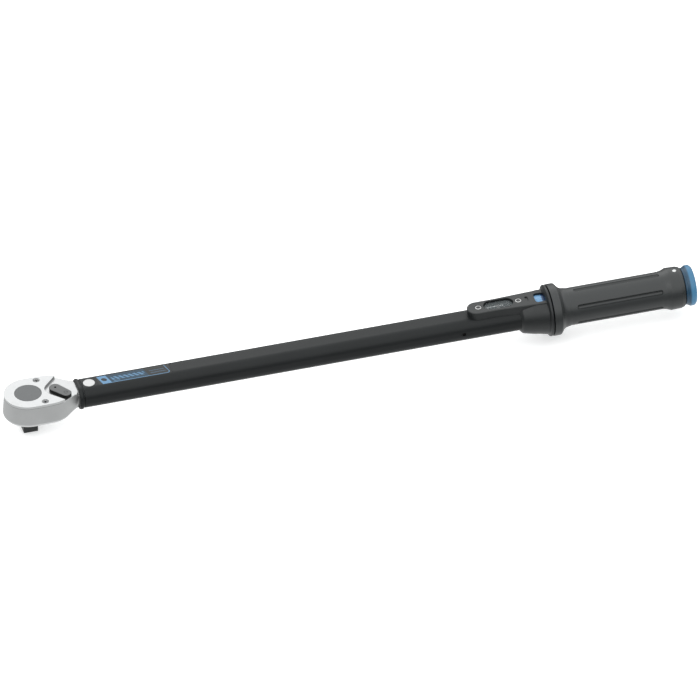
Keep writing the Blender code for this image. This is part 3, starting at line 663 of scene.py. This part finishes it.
def coverPlateTop():
    low, high = coverLow.z, coverHigh.z
    radius, slope, roomRadius = coverShape["recessRadius"], coverShape["recessSlope"], coverShape["discRoom"]
    touchX = leverX - radius * sin(atan2(slope, 1))
    touchY = radius * cos(atan2(slope, 1))
    plate = headBlank("coverPlateTop", low, high, coverShape["end"])
    edit(plate)
    leanIn(low - 1)
    calm()
    wedgeEnd = 60
    wedge = newBox("wedge", (touchX, -touchY, low - 1), (wedgeEnd, touchY, high + 1))
    edit(wedge)
    pick("FACE", lambda f: f.normal.x > 0.9)
    resizeAbout((wedgeEnd, 0, 0), (1, 1 + (wedgeEnd - touchX) * slope / touchY, 1))
    calm()
    carve(plate, wedge, newRod("leverArc", radius, low - 1, high + 1, "Z", (leverX, 0), 128),
          newRod("discRoom", roomRadius, low - 1, high + 1, "Z", (0, 0), 128))
    screwX, screwY = coverScrewSpot
    for side in (1, -1):
        corners = [(high + up, reach) for up, reach in coverShape["sink"]]
        corners = [(high + 1, 0), *corners, (low - 1, 1.75), (low - 1, 0)]
        carve(plate, turnPiece("sink", corners, "Z", (screwX, side * screwY), 48))

    def topRim(e):
        ups = [f.normal.z > 0.9 for f in e.link_faces]
        return len(ups) == 2 and ups[0] != ups[1] and mid(e).z > high - 0.05

    def outside(e):
        return mid(e).xy.length > 19.4 and mid(e).x < 28.5

    def recessRim(e):
        clear = all((mid(e).xy - Vector((screwX, y))).length > 3.5 for y in (screwY, -screwY))
        return not outside(e) and (mid(e).xy - Vector((leverX, 0))).length < 25 and mid(e).x > 15.0 and clear

    soften(
        plate,
        (lambda e: topRim(e) and outside(e), 0.6, 4),
        (lambda e: topRim(e) and recessRim(e), 0.2, 2),
        (lambda e: topRim(e) and abs(mid(e).xy.length - roomRadius) < 0.1, 0.15, 2),
    )
    steel = satinChrome("satinChromeCover", high - 0.22, True)
    complete(plate, "head", steel, ["cover_plate"])


def crossRecess(screw, centre, top, arm, depth, along="Z"):  # two crossed slots that narrow downwards
    half = 0.42
    for a, b in ((arm, half), (half, arm)):
        low, high = (centre[0] - a, centre[1] - b), (centre[0] + a, centre[1] + b)
        if along == "Z":
            low, high = (*low, top - depth), (*high, top + 1)
        else:
            low, high = (top - depth, *low), (top + 1, *high)
        slot = newBox("slot", low, high)
        edit(slot)
        pick("FACE", lambda f: (f.normal.z if along == "Z" else f.normal.x) < -0.9)
        scale = (0.55, 0.7, 1) if along == "Z" else (1, 0.6, 0.6)
        bpy.ops.transform.resize(value=scale, center_override=(Vector(low) + Vector(high)) / 2 * mm)
        calm()
        carve(screw, slot)


def coverScrews():
    shape = {"sunk": 0.25, "head": 2.75, "shank": 1.5, "arm": 1.9, "recess": 1.3}
    steel = darkSteel("screwSteel", (0.15, 0.15, 0.152), 0.36)
    for number in (1, 2):
        low, high = span(f"cover_screw_{number}")
        spot = ((low.x + high.x) / 2, (low.y + high.y) / 2)
        top, head, shank = high.z - shape["sunk"], shape["head"], shape["shank"]
        corners = [(top, 0), (top - 0.1, 2.0, 0.5), (top - 0.35, head, 0.15), (top - 0.5, head),
                   (top - 1.6, shank), (low.z, shank), (low.z, 0)]
        screw = turnPiece(f"coverScrew{number}", corners, "Z", spot, 64, 3)
        crossRecess(screw, spot, top, shape["arm"], shape["recess"])
        complete(screw, "head", steel, [f"cover_screw_{number}"])


def driveWheelTurned():
    low, high = span("drive_wheel")
    shape = {"disc": 11.55, "boss": 10.0, "gear": 13.4, "teeth": 36, "root": 0.945, "square": 6.35,
             "ball": 1.995}
    sides = shape["teeth"] * 4
    gear = newRod("driveWheelTurned", shape["gear"], 21.2, 34.4, "Z", (0, 0), sides)
    edit(gear)
    pick("VERT", lambda v: round(atan2(v.co.y, v.co.x) / (2 * pi / sides)) % 4 in (1, 2))
    resizeAbout((0, 0, 0), (shape["root"], shape["root"], 1))
    calm()
    disc, boss, half = shape["disc"], shape["boss"], shape["square"]
    discEdge = [(high.z, 0), (high.z, disc, 0.15), (30.0, disc), (30.0, 0)]
    bossEdge = [(30.5, 0), (30.5, boss), (14.6, boss, 0.4), (14.6, 0)]
    square = newBox("square", (-half, -half, 0), (half, half, 25))
    soften(square, (upright, 0.7, 4), (lambda e: folded(e) and mid(e).z < 0.1, 0.5, 3))
    discPiece = turnPiece("disc", discEdge, "Z", (0, 0), 144, 3)
    bossPiece = turnPiece("boss", bossEdge, "Z", (0, 0), 96, 3)
    weld(gear, discPiece, bossPiece, square)
    carve(gear, newRod("ballRoom", 2.15, -2.2, 8.0, "Y", (0, 6.0), 48))
    steel = turnedFace("wheelSteel", (0.108, 0.111, 0.113), 0.40)
    complete(gear, "wheel", steel, ["drive_wheel"])
    ballLow, ballHigh = span("detent_ball")
    middle = (ballLow + ballHigh) / 2
    arc = [i * pi / 24 for i in range(25)]
    corners = [(middle.z + shape["ball"] * cos(angle), shape["ball"] * sin(angle)) for angle in arc]
    ball = turnPiece("detentBallPolished", corners, "Z", (middle.x, middle.y), 48)
    steel = brightSteel("ballSteel", (0.75, 0.75, 0.75), 0.12, False)
    complete(ball, "ball", steel, ["detent_ball"])


def reversingLeverShaped():
    low, high = span("reversing_lever")
    shape = {"heel": 5.3, "tip": 4.4, "length": 12.0, "under": 35.0, "turned": 53.7, "mark": 11.6}
    heel, tip, under, top = shape["heel"], shape["tip"], shape["under"], high.z
    end = leverX + shape["length"] + tip
    lever = newBox("reversingLeverShaped", (leverX - heel, -heel, under), (end, heel, top))
    edit(lever)
    pick("FACE", lambda f: f.normal.x > 0.9)
    resizeAbout((end, 0, 36), (1, tip / heel * 0.97, 1))
    soften(
        lever,
        (lambda e: upright(e) and mid(e).x < leverX, heel - 0.02, 16),
        (lambda e: upright(e) and mid(e).x > leverX + 10, tip * 0.86, 12),
        (flatRim(top), 0.45, 4),
        (lambda e: folded(e) and mid(e).z < under + 0.01, 0.15, 2),
    )
    corners = [(36.0, 0), (36.0, 3.0), (34.5, 3.0), (34.5, 2.2), (33.0, 2.2), (33.0, 3.0), (32.3, 3.0),
               (32.3, 2.3), (31.2, 2.3), (31.2, 3.0), (19.0, 3.0, 0.3), (19.0, 0)]
    weld(lever, turnPiece("shaft", corners, "Z", (leverX, 0), 48))
    dimple = [(top + 1, 0), (top + 1, 1.1), (top - 0.15, 1.0), (top - 1.2, 0.6), (top - 1.2, 0)]
    mark = [(top + 1, 1.25), (top + 1, 1.9), (top - 0.3, 1.75), (top - 0.3, 1.4)]
    carve(
        lever,
        turnPiece("dimple", dimple, "Z", (leverX, 0), 32),
        turnPiece("mark", mark, "Z", (leverX + shape["mark"], 0), 40),
        newRod("room", 1.35, leverX - 4.0, leverX + 2.0, "X", (0, 27.0), 32),
    )
    edit(lever)  # drawn along X, then turned to where it rests
    bpy.ops.mesh.select_all(action="SELECT")
    middle = Vector((leverX, 0, 0)) * mm
    bpy.ops.transform.rotate(value=radians(shape["turned"]), orient_axis="Z", center_override=middle)
    calm()
    steel = darkSteel("leverSteel", (0.102, 0.104, 0.105), 0.40, top - 0.6)
    complete(lever, "lever", steel, ["reversing_lever"])


def frontCollarRing():
    low, high = span("front_collar")
    shape = {"start": (13.45, 10.25, 9.0), "hole": (10.95, 8.55, 6.4), "first": 0.3,
             "steps": ((0.5, 0.4), (0.6, 0.15), (1.5, 0.0), (0.5, -0.45), (0.4, -0.4), (0.25, -0.02),
                       (0.65, 0.0))}
    half, height, corner = shape["start"]
    x = low.x + shape["first"]
    ring = ovalBar("frontCollarRing", half, height, corner, low.x, x, 12)
    edit(ring)
    for run, more in shape["steps"]:  # how far along, and how much wider
        run = min(run, high.x - x)
        x += run
        scale = (1, (half + more) / half, (height + more) / height)
        grow(lambda f: f.normal.x > 0.9, (run, 0, 0), scale, (x, 0, axisZ))
        half, height = half + more, height + more
    calm()
    carve(ring, ovalBar("hole", *shape["hole"], low.x - 2, high.x + 2))
    soften(ring, (lambda e: folded(e) and mid(e).x < low.x + 0.02, 0.25, 2))
    complete(ring, "tube", powderCoat("collarCoat"), ["front_collar"], 30)


def tubeShell():
    shape = {"corner": 8.6, "bore": (11.6, 8.4, 7.0), "pivotRoom": 5.3, "pin": 5.2, "stop": (1.8, 380.9)}
    tube = ovalBar("tubeShell", tubeHigh.y, tubeHigh.z - axisZ, shape["corner"], tubeLow.x, tubeHigh.x, 14)
    stopRadius, stopX = shape["stop"]
    carve(
        tube,
        ovalBar("bore", *shape["bore"], tubeLow.x - 2, tubeHigh.x + 2, 14),
        newRod("pivotRoom", shape["pivotRoom"], 10, 45, "Z", (pivotX, 0), 96),
        newRod("stopRoom", stopRadius, -20, -9, "Y", (stopX, axisZ), 40),
        newBox("pointerRoom", (402, 0.4, axisZ + 5), (428, 4.5, axisZ + 12)),
        newRod("plugPinRoom", 1.5, 10, 45, "Z", (549.5, 8.3), 24),
    )
    for x in housingScrewX:
        carve(tube, newRod("screwRoom", 1.75, axisZ + 5, axisZ + 12, "Z", (x, 0), 24))
    soften(
        tube,
        (lambda e: folded(e) and abs(mid(e).x - tubeLow.x) < 0.02, 0.25, 2),
        (lambda e: folded(e, 30) and (mid(e).xy - Vector((pivotX, 0))).length < 5.6, 0.15, 2),
    )
    complete(tube, "tube", powderCoat("tubeCoat"), ["tube"])
    low, high = span("pivot_pin")
    corners = [(high.z, 0), (high.z, shape["pin"], 0.35), (low.z, shape["pin"], 0.35), (low.z, 0)]
    pin = turnPiece("pivotPinGround", corners, "Z", (pivotX, 0), 96, 4)
    steel = brightSteel("pinSteel", (0.375, 0.375, 0.375), 0.30, False)
    complete(pin, "tube", steel, ["pivot_pin"])


labelShape = {"low": 61.0, "high": 125.0, "half": 5.9, "line": 0.27, "corner": 3.0, "lean": 0.28,
              "proud": 0.03}


def labelInk(name):  # plain shapes: a framed block with a round hole, slanted bars and fine dashes
    shade = Shade(name, gloss=0.3)
    size = labelShape["high"] - labelShape["low"]
    middle = (labelShape["low"] + labelShape["high"]) / 2
    line, corner = labelShape["line"], labelShape["corner"]
    along = shade.x + shade.y * 0.30 - middle
    across = shade.y

    def within(low, high, source=along):
        return source.over(low) * source.under(high)

    left = -size / 2 + 2.1
    right = (along - (size / 2 - 2.2 - corner)).most(0.0)
    side = (-1.0 * across - (labelShape["half"] - 0.4 - corner)).most(0.0)
    edge = ((right * right + side * side).root() - corner).most(left - along)
    outline = (edge + line).size().under(line)
    inside = edge.under(-2 * line)
    block = within(left, left + 8.0) * inside
    hollow = along - (left + 4.0)
    hole = (hollow * hollow + (across - 0.4) * (across - 0.4)).under(5.3)
    bars = within(left + 10.5, left + 39.5) * within(-1.9, 2.4, across)
    bars = bars * (along + across * 0.55).maths("PINGPONG", 2.1).over(0.8)
    dashes = within(left + 44.0, left + 57.0) * (across.size() - 1.5).size().under(0.5)
    dashes = dashes * (along * 1.3 + across * 3.0).maths("PINGPONG", 1.0).over(0.3)
    note = within(left + 10.5, left + 16.0) * within(-3.9, -3.1, across)
    panelTone = within(left + 8.0, left + 41.0) * inside
    bright = outline.most(block * (1.0 - hole))
    medium = (bars * 0.75).most(note * 0.6).most(dashes * 0.35)
    worn = shade.noise(1.2, 5.0, 0.7).ramp(0.25, 0.5, 0.75, 1.0)
    cloud = shade.noise(9.0, 2.0)
    inkTone = shade.mix(cloud, (0.075, 0.17, 0.30), (0.10, 0.22, 0.35))
    base = shade.mix(panelTone, (0.0075, 0.009, 0.0095), (0.004, 0.026, 0.050))
    tone = shade.mix(bright.most(medium) * worn, base, inkTone)
    fine = shade.noise(0.5, 2.0)
    return shade.give(tone, 0.40 + (fine - 0.5) * 0.1, (fine, 0.03, 0.4))


def labelPrint():  # a thin printed panel laid on the tube
    low, high = labelShape["low"], labelShape["high"]
    calm()
    bpy.ops.mesh.primitive_grid_add(x_subdivisions=64, y_subdivisions=14, size=1,
                                    location=((low + high) / 2 * mm, 0, (tubeHigh.z + 1) * mm))
    panel = bpy.context.object
    panel.name = "labelPrint"
    panel.scale = ((high - low) * mm, 2 * labelShape["half"] * mm, 1)
    bpy.ops.object.transform_apply(location=True, rotation=True, scale=True)
    edit(panel)  # the front end leans
    pick("VERT", lambda v: abs(v.co.x / mm - low) < 0.1 and v.co.y / mm < 0)
    bpy.ops.transform.translate(value=(labelShape["lean"] * mm, 0, 0))
    calm()
    apply(panel, "SHRINKWRAP", target=bpy.data.objects["tubeShell"], offset=labelShape["proud"] * mm,
          wrap_method="PROJECT", use_project_z=True, use_negative_direction=True,
          use_positive_direction=False)
    complete(panel, "tube", labelInk("labelInk"))


housingShape = {
    "half": 8.7,
    "height": 16.2,
    "straight": 413.0,
    "flare": ((28.0, 1.15), (14.4, 1.06)),  # how far along, and how much wider
    "coneFront": 431.6,
    "coneEnd": 455.4,
    "rim": 22.3,
    "shoulder": 16.5,
    "window": ((401.9, -5.85), (427.9, 6.45)),
    "drumWindow": ((446.4, -7.4), (455.3, 5.4)),
    "index": ((438.5, -3.0), (441.1, 3.3)),
}


def housingShell():
    top = axisZ + housingShape["height"]
    half, coneFront, coneEnd = housingShape["half"], housingShape["coneFront"], housingShape["coneEnd"]
    x = housingShape["straight"]
    saddle = newBox("housingShell", (houseLow.x, -half, axisZ + 7.5), (x, half, top))
    edit(saddle)
    for run, widen in housingShape["flare"]:
        x += run
        grow(lambda f: f.normal.x > 0.9, (run, 0, 0), (1, widen, 1), (x, 0, axisZ))
    soften(
        saddle,
        (lambda e: upright(e) and mid(e).x < houseLow.x + 0.1, half - 0.4, 20),
        (lambda e: mid(e).z > top - 0.01 and mid(e).x < 450, 1.0, 5),
    )
    corners = [(coneEnd, 9.0), (coneEnd, 20.2), (448.0, 18.6, 6), (442.0, 17.6, 6),
               (coneFront + 2.2, 15.6, 2.5), (coneFront, 13.2, 0.6), (coneFront, 9.0)]
    cone = turnPiece("cone", corners, sides=160)
    shoulders = newBox("shoulders", (420, -21.0, axisZ - 30), (460, 21.0, top))
    soften(shoulders, (lambda e: leads(e, 0) and mid(e).z > top - 0.1, housingShape["shoulder"], 20))
    carve(cone, shoulders, how="INTERSECT")
    end, rim = houseHigh.x, housingShape["rim"]
    corners = [(end, 9.0), (end, rim, 0.5), (456.6, rim, 0.9), (455.5, 20.0, 1.0), (454.7, 17.5),
               (454.7, 9.0)]
    weld(saddle, cone, turnPiece("rim", corners, sides=160))
    rooms = []
    for name, floor, roof, rounding, steps in (
        ("window", axisZ + 5, axisZ + 26, 6.1, 14),
        ("drumWindow", axisZ + 5, top + 1.0, 2.7, 8),
        ("index", top - 0.9, axisZ + 20, 0.9, 5),
    ):
        near, far = housingShape[name]
        rooms.append(soften(newBox(name, (*near, floor), (*far, roof)), (upright, rounding, steps)))
    carve(
        saddle,
        ovalBar("tubeRoom", tubeHigh.y + 0.1, tubeHigh.z - axisZ + 0.1, half, 380, 444, 14),
        newRod("boreRoom", 15.4, 443.4, 462, "X", (0, axisZ), 128),
        *rooms,
    )
    for x in housingScrewX:
        carve(saddle, newRod("screwRoom", 1.75, axisZ + 5, axisZ + 25, "Z", (x, 0), 32),
              newRod("screwWell", 2.85, axisZ + 13.7, axisZ + 25, "Z", (x, 0), 64))

    def windowEdge(e):
        ups = [f.normal.z > 0.95 and abs(mid(f).z - top) < 0.02 for f in e.link_faces]
        rim = len(ups) == 2 and ups[0] != ups[1] and folded(e, 60)
        return rim and abs(mid(e).y - 0.3) < 6.3 and 401.5 < mid(e).x < 428.2

    soften(saddle, (windowEdge, 0.95, 4))
    plastic = mouldedPlastic("housingPlastic", (0.009, 0.0105, 0.011), 0.38, gloss=0.42)
    complete(saddle, "tube", plastic, ["scale_housing"], 30)


def ringSteel(name, x):  # a bright ring about a socket with painted shade in it
    shade = Shade(name, metallic=1.0)
    across = shade.x - x
    radius = (across * across + shade.y * shade.y).root()
    cloud = shade.noise(1.5, 3.0)
    ring = shade.mix(cloud, (0.42, 0.42, 0.42), (0.5, 0.5, 0.495))
    # painted shade: inside radius 1.85 the base turns dark, for the shade down in the socket
    tone = shade.mix(radius.under(1.85), ring, (0.10, 0.10, 0.102))
    grain = shade.noise(0.3, 2.0)
    return shade.give(tone, 0.28 + (grain - 0.5) * 0.12, (grain, 0.01, 0.4))


def housingScrews():
    shape = {"socket": 1.6, "head": 2.7, "shank": 1.5, "deep": 0.7, "thick": 2.2}
    head, shank = shape["head"], shape["shank"]
    for number in (1, 2):
        low, high = span(f"housing_screw_{number}")
        x, top = (low.x + high.x) / 2, high.z
        under, floor = top - shape["thick"], top - shape["deep"]
        corners = [(floor, 0), (floor, shape["socket"]), (top - 0.15, 1.75, 0.1), (top, 1.95, 0.1),
                   (top, head, 0.3), (under, head, 0.1), (under, shank), (low.z, shank, 0.3),
                   (low.z, 0)]
        screw = turnPiece(f"housingScrewHead{number}", corners, "Z", (x, 0), 72, 3)
        steel = ringSteel(f"ringScrewSteel{number}", x)
        complete(screw, "tube", steel, [f"housing_screw_{number}"])


def printedText(words, spot, height):  # generic numerals, made a mesh
    calm()
    bpy.ops.object.text_add(location=Vector(spot) * mm)
    text = bpy.context.object
    text.data.body = words
    text.data.size = height * mm
    text.data.align_x = "CENTER"
    text.data.align_y = "CENTER"
    text.data.extrude = 0.02 * mm
    bpy.ops.object.convert(target="MESH")
    bpy.ops.object.transform_apply(location=True, rotation=True, scale=True)
    return bpy.context.object


def scaleMarks(low, high):
    shape = {"inset": 1.2, "gaps": 12, "long": 1.5, "short": 0.9, "half": 0.09, "edge": 0.25,
             "digits": 1.55, "step": 60}
    pieces = []
    first, last, far = low.x + shape["inset"], high.x - shape["inset"], high.y - shape["edge"]
    floor, roof = high.z - 0.01, high.z + 0.03
    for i in range(shape["gaps"] + 1):
        x = first + (last - first) * i / shape["gaps"]
        reach = shape["short"] if i % 3 else shape["long"]
        half = shape["half"]
        pieces.append(newBox("tick", (x - half, far - reach, floor), (x + half, far, roof)))
        if i % 3 == 0:
            words = str(shape["step"] + shape["step"] * (i // 3))
            pieces.append(printedText(words, (x, high.y - 3.1, high.z + 0.01), shape["digits"]))
    pieces.append(newBox("line", (low.x + 0.6, low.y + 0.35, floor), (high.x - 0.6, low.y + 0.6, roof)))
    hold(pieces[0])
    for other in pieces[1:]:
        other.select_set(True)
    bpy.ops.object.join()
    marks = bpy.context.object
    marks.name = "scaleMarks"
    return marks


def windowPieces():
    shape = {"lensEdge": 0.25, "plateCorner": 1.0, "plateEdge": 0.12, "line": ((403.4, 5.0), (420.5, 5.6))}
    low, high = span("scale_lens")
    lens = newBox("windowLens", low, high)
    soften(lens, (upright, (high.y - low.y) / 2 - 0.05, 14), (flatRim(high.z), shape["lensEdge"], 3))
    complete(lens, "tube", clearWindow("lensClear"), ["scale_lens"])
    low, high = span("scale_plate")
    plate = newBox("scalePlatePrinted", low, high)
    soften(plate, (upright, shape["plateCorner"], 4), (flatRim(high.z), shape["plateEdge"], 2))
    grey = mouldedPlastic("scaleGrey", (0.035, 0.037, 0.038), 0.4)
    complete(plate, "tube", grey, ["scale_plate"])
    complete(scaleMarks(low, high), "tube", whitePaint("scaleInk", 0.1))
    near, far = shape["line"]
    line = newBox("datumLine", (*near, tubeHigh.z - 0.05), (*far, tubeHigh.z + 0.25))
    soften(line, (lambda e: leads(e, 0) and mid(e).z > tubeHigh.z, 0.04, 2))
    complete(line, "tube", whitePaint("lineInk"))


def pointerBlade():
    low, high = span("scale_pointer")
    middle = (low.x + high.x) / 2
    shape = {"blade": 0.9, "neck": 0.5, "thin": (0.5, 1, 0.3), "tip": (0.45, 1, 1)}
    pointer = newBox("pointerBlade", (low.x, shape["blade"], low.z), (high.x, high.y, high.z))
    edit(pointer)
    start = shape["blade"] - shape["neck"]
    grow(lambda f: f.normal.y < -0.9, (0, -shape["neck"], 0), shape["thin"], (middle, start, high.z - 0.1))
    grow(lambda f: f.normal.y < -0.9, (0, low.y - start, 0), shape["tip"], (middle, low.y, high.z - 0.2))
    soften(pointer, (folded, 0.12, 2))
    paint = mouldedPlastic("pointerPaint", (0.035, 0.03, 0.03), 0.5)
    complete(pointer, "carriage", paint, ["scale_pointer"])


def drumBlueWithPaintedHighlight(name, highlightLow, highlightHigh):  # the drum's own navy, with a light band about it that is a painted highlight
    shade = Shade(name)
    band = shade.x.ramp(highlightLow, highlightLow + 0.5) * shade.x.ramp(highlightHigh - 0.5, highlightHigh, 1.0, 0.0)
    turn = (shade.z - axisZ).maths("ARCTAN2", shade.y)
    ticks = (turn * 12.0).maths("PINGPONG", 1.0).over(0.9) * shade.x.over(highlightHigh - 1.6)
    cloud = shade.noise(2.0, 3.0)
    # painted highlight: the light band stands for the drum's lit top seen through the window
    light = shade.mix(cloud, (0.09, 0.23, 0.42), (0.15, 0.30, 0.48))
    tone = shade.mix(band * (1.0 - ticks), (0.008, 0.03, 0.085), light)
    return shade.give(tone, 0.25 + cloud * 0.1, (cloud, 0.01, 0.3))


def drumRing():
    low, high = span("micrometer_drum")
    # bandStart and bandEnd bound the painted highlight
    shape = {"inner": 13.9, "bandStart": 1.6, "bandEnd": 8.4}
    outer, inner = high.z - axisZ, shape["inner"]
    corners = [(low.x, inner), (low.x, outer), (low.x + 0.6, outer, 0.2), (high.x, outer, 0.3),
               (high.x, inner)]
    drum = turnPiece("drumRing", corners, sides=128)
    blue = drumBlueWithPaintedHighlight("drumBlueWithPaintedHighlight", low.x + shape["bandStart"], low.x + shape["bandEnd"])
    complete(drum, "grip", blue, ["micrometer_drum"])


gripShape = {
    "flange": 22.5,
    "hand": 16.2,
    "flare": 18.35,
    "bore": 13.9,
    "flutes": 6,
    "fluteRadius": 2.1,
    "fluteSpan": (481.0, 557.0),
    "dot": 1.75,
}


def gripSleeve():
    start, end = gripLow.x, gripHigh.x
    hand, flange, bore = gripShape["hand"], gripShape["flange"], gripShape["bore"]
    corners = [(end, 15.0), (end, 15.9), (end - 0.9, 17.2, 0.8), (end - 3.6, 18.05, 1.6),
               (564.6, gripShape["flare"], 2.2), (560.6, hand + 0.6, 4.5), (557.0, hand, 6.0),
               (476.5, hand, 3.0), (470.0, 17.4, 7.0), (466.6, 21.6, 2.0), (466.0, 22.3, 0.25),
               (465.2, flange, 0.5),
               (start + 0.2, flange, 0.5), (start, 21.9, 0.3), (start, 15.3, 0.2), (470.4, 15.3),
               (470.4, bore), (565.0, bore), (565.0, 15.0)]
    grip = turnPiece("gripSleeve", corners, sides=168, steps=6)
    low, high = gripShape["fluteSpan"]
    radius, reach = gripShape["fluteRadius"], hand + 0.35
    for i in range(gripShape["flutes"]):
        angle = i * pi / 3
        corners = [(low, 0), (low + 0.5, radius, 1.9), (high, radius, 1.9), (high, 0)]
        middle = (reach * sin(angle), axisZ + reach * cos(angle))
        carve(grip, turnPiece("flute", corners, centre=middle, sides=32, steps=8))
    dotLow, dotHigh = span("index_dot")
    dotRadius = gripShape["dot"]
    carve(grip, newRod("dotRoom", dotRadius + 0.1, dotLow.z - 0.1, axisZ + 25, "Z", (dotX, 0), 48))
    notch = newBox("notch", (572.6, -19.0, axisZ + 5.2), (576.2, -16.9, axisZ + 8.6))
    carve(grip, soften(notch, (lambda e: leads(e, 1), 0.5, 3)))

    def fluteEdge(e):
        at = mid(e)
        away = Vector((at.y, at.z - axisZ)).length
        return folded(e, 22) and 480 < at.x < 558 and away > hand - 0.25

    soften(grip, (fluteEdge, 0.25, 3))
    plastic = mouldedPlastic("gripPlastic", (0.0135, 0.0155, 0.016), 0.38, 0.035, gloss=0.55)
    complete(grip, "grip", plastic, ["grip"], 28)
    corners = [(dotHigh.z, 0), (dotHigh.z, dotRadius, 0.2), (dotLow.z, dotRadius), (dotLow.z, 0)]
    dot = turnPiece("indexDotInlay", corners, "Z", (dotX, 0), 48, 3)
    complete(dot, "grip", whitePaint("dotPaint"), ["index_dot"])


def rimPaint(name, low, high):  # lit and shaded copies of one blue: navy as painted shade where it leans to the grip, away from the light, and a lighter painted lit tone beyond
    shade = Shade(name)
    cells = shade.noise(0.32, 3.0, 0.65)
    cloud = shade.noise(8.0, 3.0)
    paintedShadeNavy = shade.mix(cloud, (0.005, 0.036, 0.072), (0.007, 0.042, 0.080))
    # painted light: the lit copy of the rim's blue
    light = shade.mix(cloud, (0.028, 0.125, 0.23), (0.034, 0.14, 0.255))
    tone = shade.mix(shade.x.ramp(low, high), paintedShadeNavy, light)
    return shade.give(tone, 0.34 + (cells - 0.5) * 0.12, (cells, 0.015, 0.6))


knobShape = {
    "gap": 0.3,
    "bandEnd": 581.8,
    "rimAhead": 2.9,
    "rimProud": 0.9,
    "capRadius": 13.3,
    "dog": (9.5, 12.2, 2.5),  # near, far and half height
    "screwHead": 3.2,
}


def lockKnobBand():
    low, high = span("lock_knob")
    band, end, start = high.z - axisZ, knobShape["bandEnd"], gripHigh.x + knobShape["gap"]
    corners = [(end, 0), (end, band, 0.5), (start, band, 0.4), (start, 14.7), (571.2, 14.7),
               (571.2, 14.0), (569.8, 14.0), (569.8, 14.7), (567.0, 14.7, 0.3), (567.0, 13.0, 0.2),
               (578.0, 13.0), (578.0, 0)]
    knob = turnPiece("lockKnobBand", corners, sides=128)
    inner, outer, half = knobShape["dog"]
    for side in (1, -1):
        near, far = sorted((side * inner, side * outer))
        dog = newBox("dog", (low.x, near, axisZ - half), (578.5, far, axisZ + half))
        weld(knob, soften(dog, (lambda e: mid(e).x < low.x + 0.1, 0.4, 2)))
    carve(knob, newRod("screwRoom", 1.75, 579.0, 590, "X", (0, axisZ), 32))
    # partly painted shade: the knob band's own blue is darkened to the same navy as the rim's shaded part
    blue = mouldedPlastic("knobBlue", (0.005, 0.036, 0.072), 0.36, 0.02)
    complete(knob, "knob", blue, ["lock_knob"])


def knobRimRing():
    low, high = span("knob_rim")
    end, outer, start = high.x, high.z - axisZ + knobShape["rimProud"], low.x - knobShape["rimAhead"]
    corners = [(start, 15.0), (start, 16.1, 0.3), (start + 2.6, outer, 1.4), (end - 1.6, outer, 1.2),
               (end, outer - 1.5, 0.7), (end, 13.6, 0.3), (low.x, 13.6), (low.x, 15.0)]
    rim = turnPiece("knobRimRing", corners, sides=144)
    paint = rimPaint("rimBlueLitAndShaded", start + 1.4, start + 3.0)
    complete(rim, "knob", paint, ["knob_rim"])


def knobCapAndScrew():
    low, high = span("knob_cap")
    face, back, radius = high.x, low.x, knobShape["capRadius"]
    corners = [(back, 1.75), (back, radius), (face, radius, 0.4), (face, 9.0, 0.3),
               (face - 0.5, 8.4, 0.3), (face - 0.5, 5.2, 0.3), (face, 4.6, 0.3), (face, 3.45),
               (face - 0.35, 3.45), (face - 2.05, 1.75)]
    cap = turnPiece("knobCapDisc", corners, sides=128, steps=3)
    blue = mouldedPlastic("capBlue", (0.010, 0.055, 0.11), 0.4, 0.02)
    complete(cap, "knob", blue, ["knob_cap"])
    low, high = span("knob_screw")
    top, head = high.x, knobShape["screwHead"]
    corners = [(low.x, 0), (low.x, 1.5, 0.2), (top - 1.95, 1.5), (top - 0.25, head),
               (top, head, 0.12), (top, 0)]
    screw = turnPiece("knobScrewHead", corners, sides=64, steps=3)
    crossRecess(screw, (0, axisZ), top, 2.0, 1.2, "X")
    complete(screw, "knob", darkSteel("knobScrewSteel"), ["knob_screw"])


def finishInnerPieces():  # CAD nodes that keep their shape
    finishes = {
        "dark_steel": darkSteel("innerDarkSteel"),
        "bright_steel": brightSteel("innerBrightSteel"),
        "bronze": bronzeMetal("innerBronze"),
        "black_rubber": rubber("sealRubber"),
        "white_mark": whitePaint("innerWhite"),
        # painted shade: near black for the anti-rotation pin, which stands in the shade of its hole
        "blackened": darkSteel("pinHoleShadeBlack", (0.006, 0.006, 0.006), 0.6),
    }
    slots = {part["node"]: part["material_slot"] for part in frame["record"]["subparts"]}
    # the pin takes the near-black finish as painted shade for its hole
    slots["anti_rotation_pin"] = "blackened"
    for name, node in frame["nodes"].items():
        material = finishes.get(slots[name])
        if material:
            node.data.materials.clear()
            node.data.materials.append(material)


def makeFloor():
    floorSet = {"size": 8, "at": (0.25, 0.5, -0.0003)}
    calm()
    bpy.ops.mesh.primitive_plane_add(size=floorSet["size"], location=floorSet["at"])
    floor = bpy.context.object
    floor.name = "floor"
    floor.data.materials.append(floorPaint("paleFloor"))
    floor.visible_glossy = False  # the metal mirrors the dimmer lower dome instead


stages = {
    "stage": (makeCamera, makeWorld, makeLights, makeFloor),
    "head": (headForging, coverPlateTop, coverScrews, driveWheelTurned, reversingLeverShaped),
    "tube": (frontCollarRing, tubeShell, labelPrint),
    "housing": (housingShell, housingScrews, windowPieces, pointerBlade, drumRing),
    "grip": (gripSleeve, lockKnobBand, knobRimRing, knobCapAndScrew),
    "inner pieces": (finishInnerPieces,),
}
for stageName, makers in stages.items():
    for make in makers:
        make()
    print(stageName, "done")
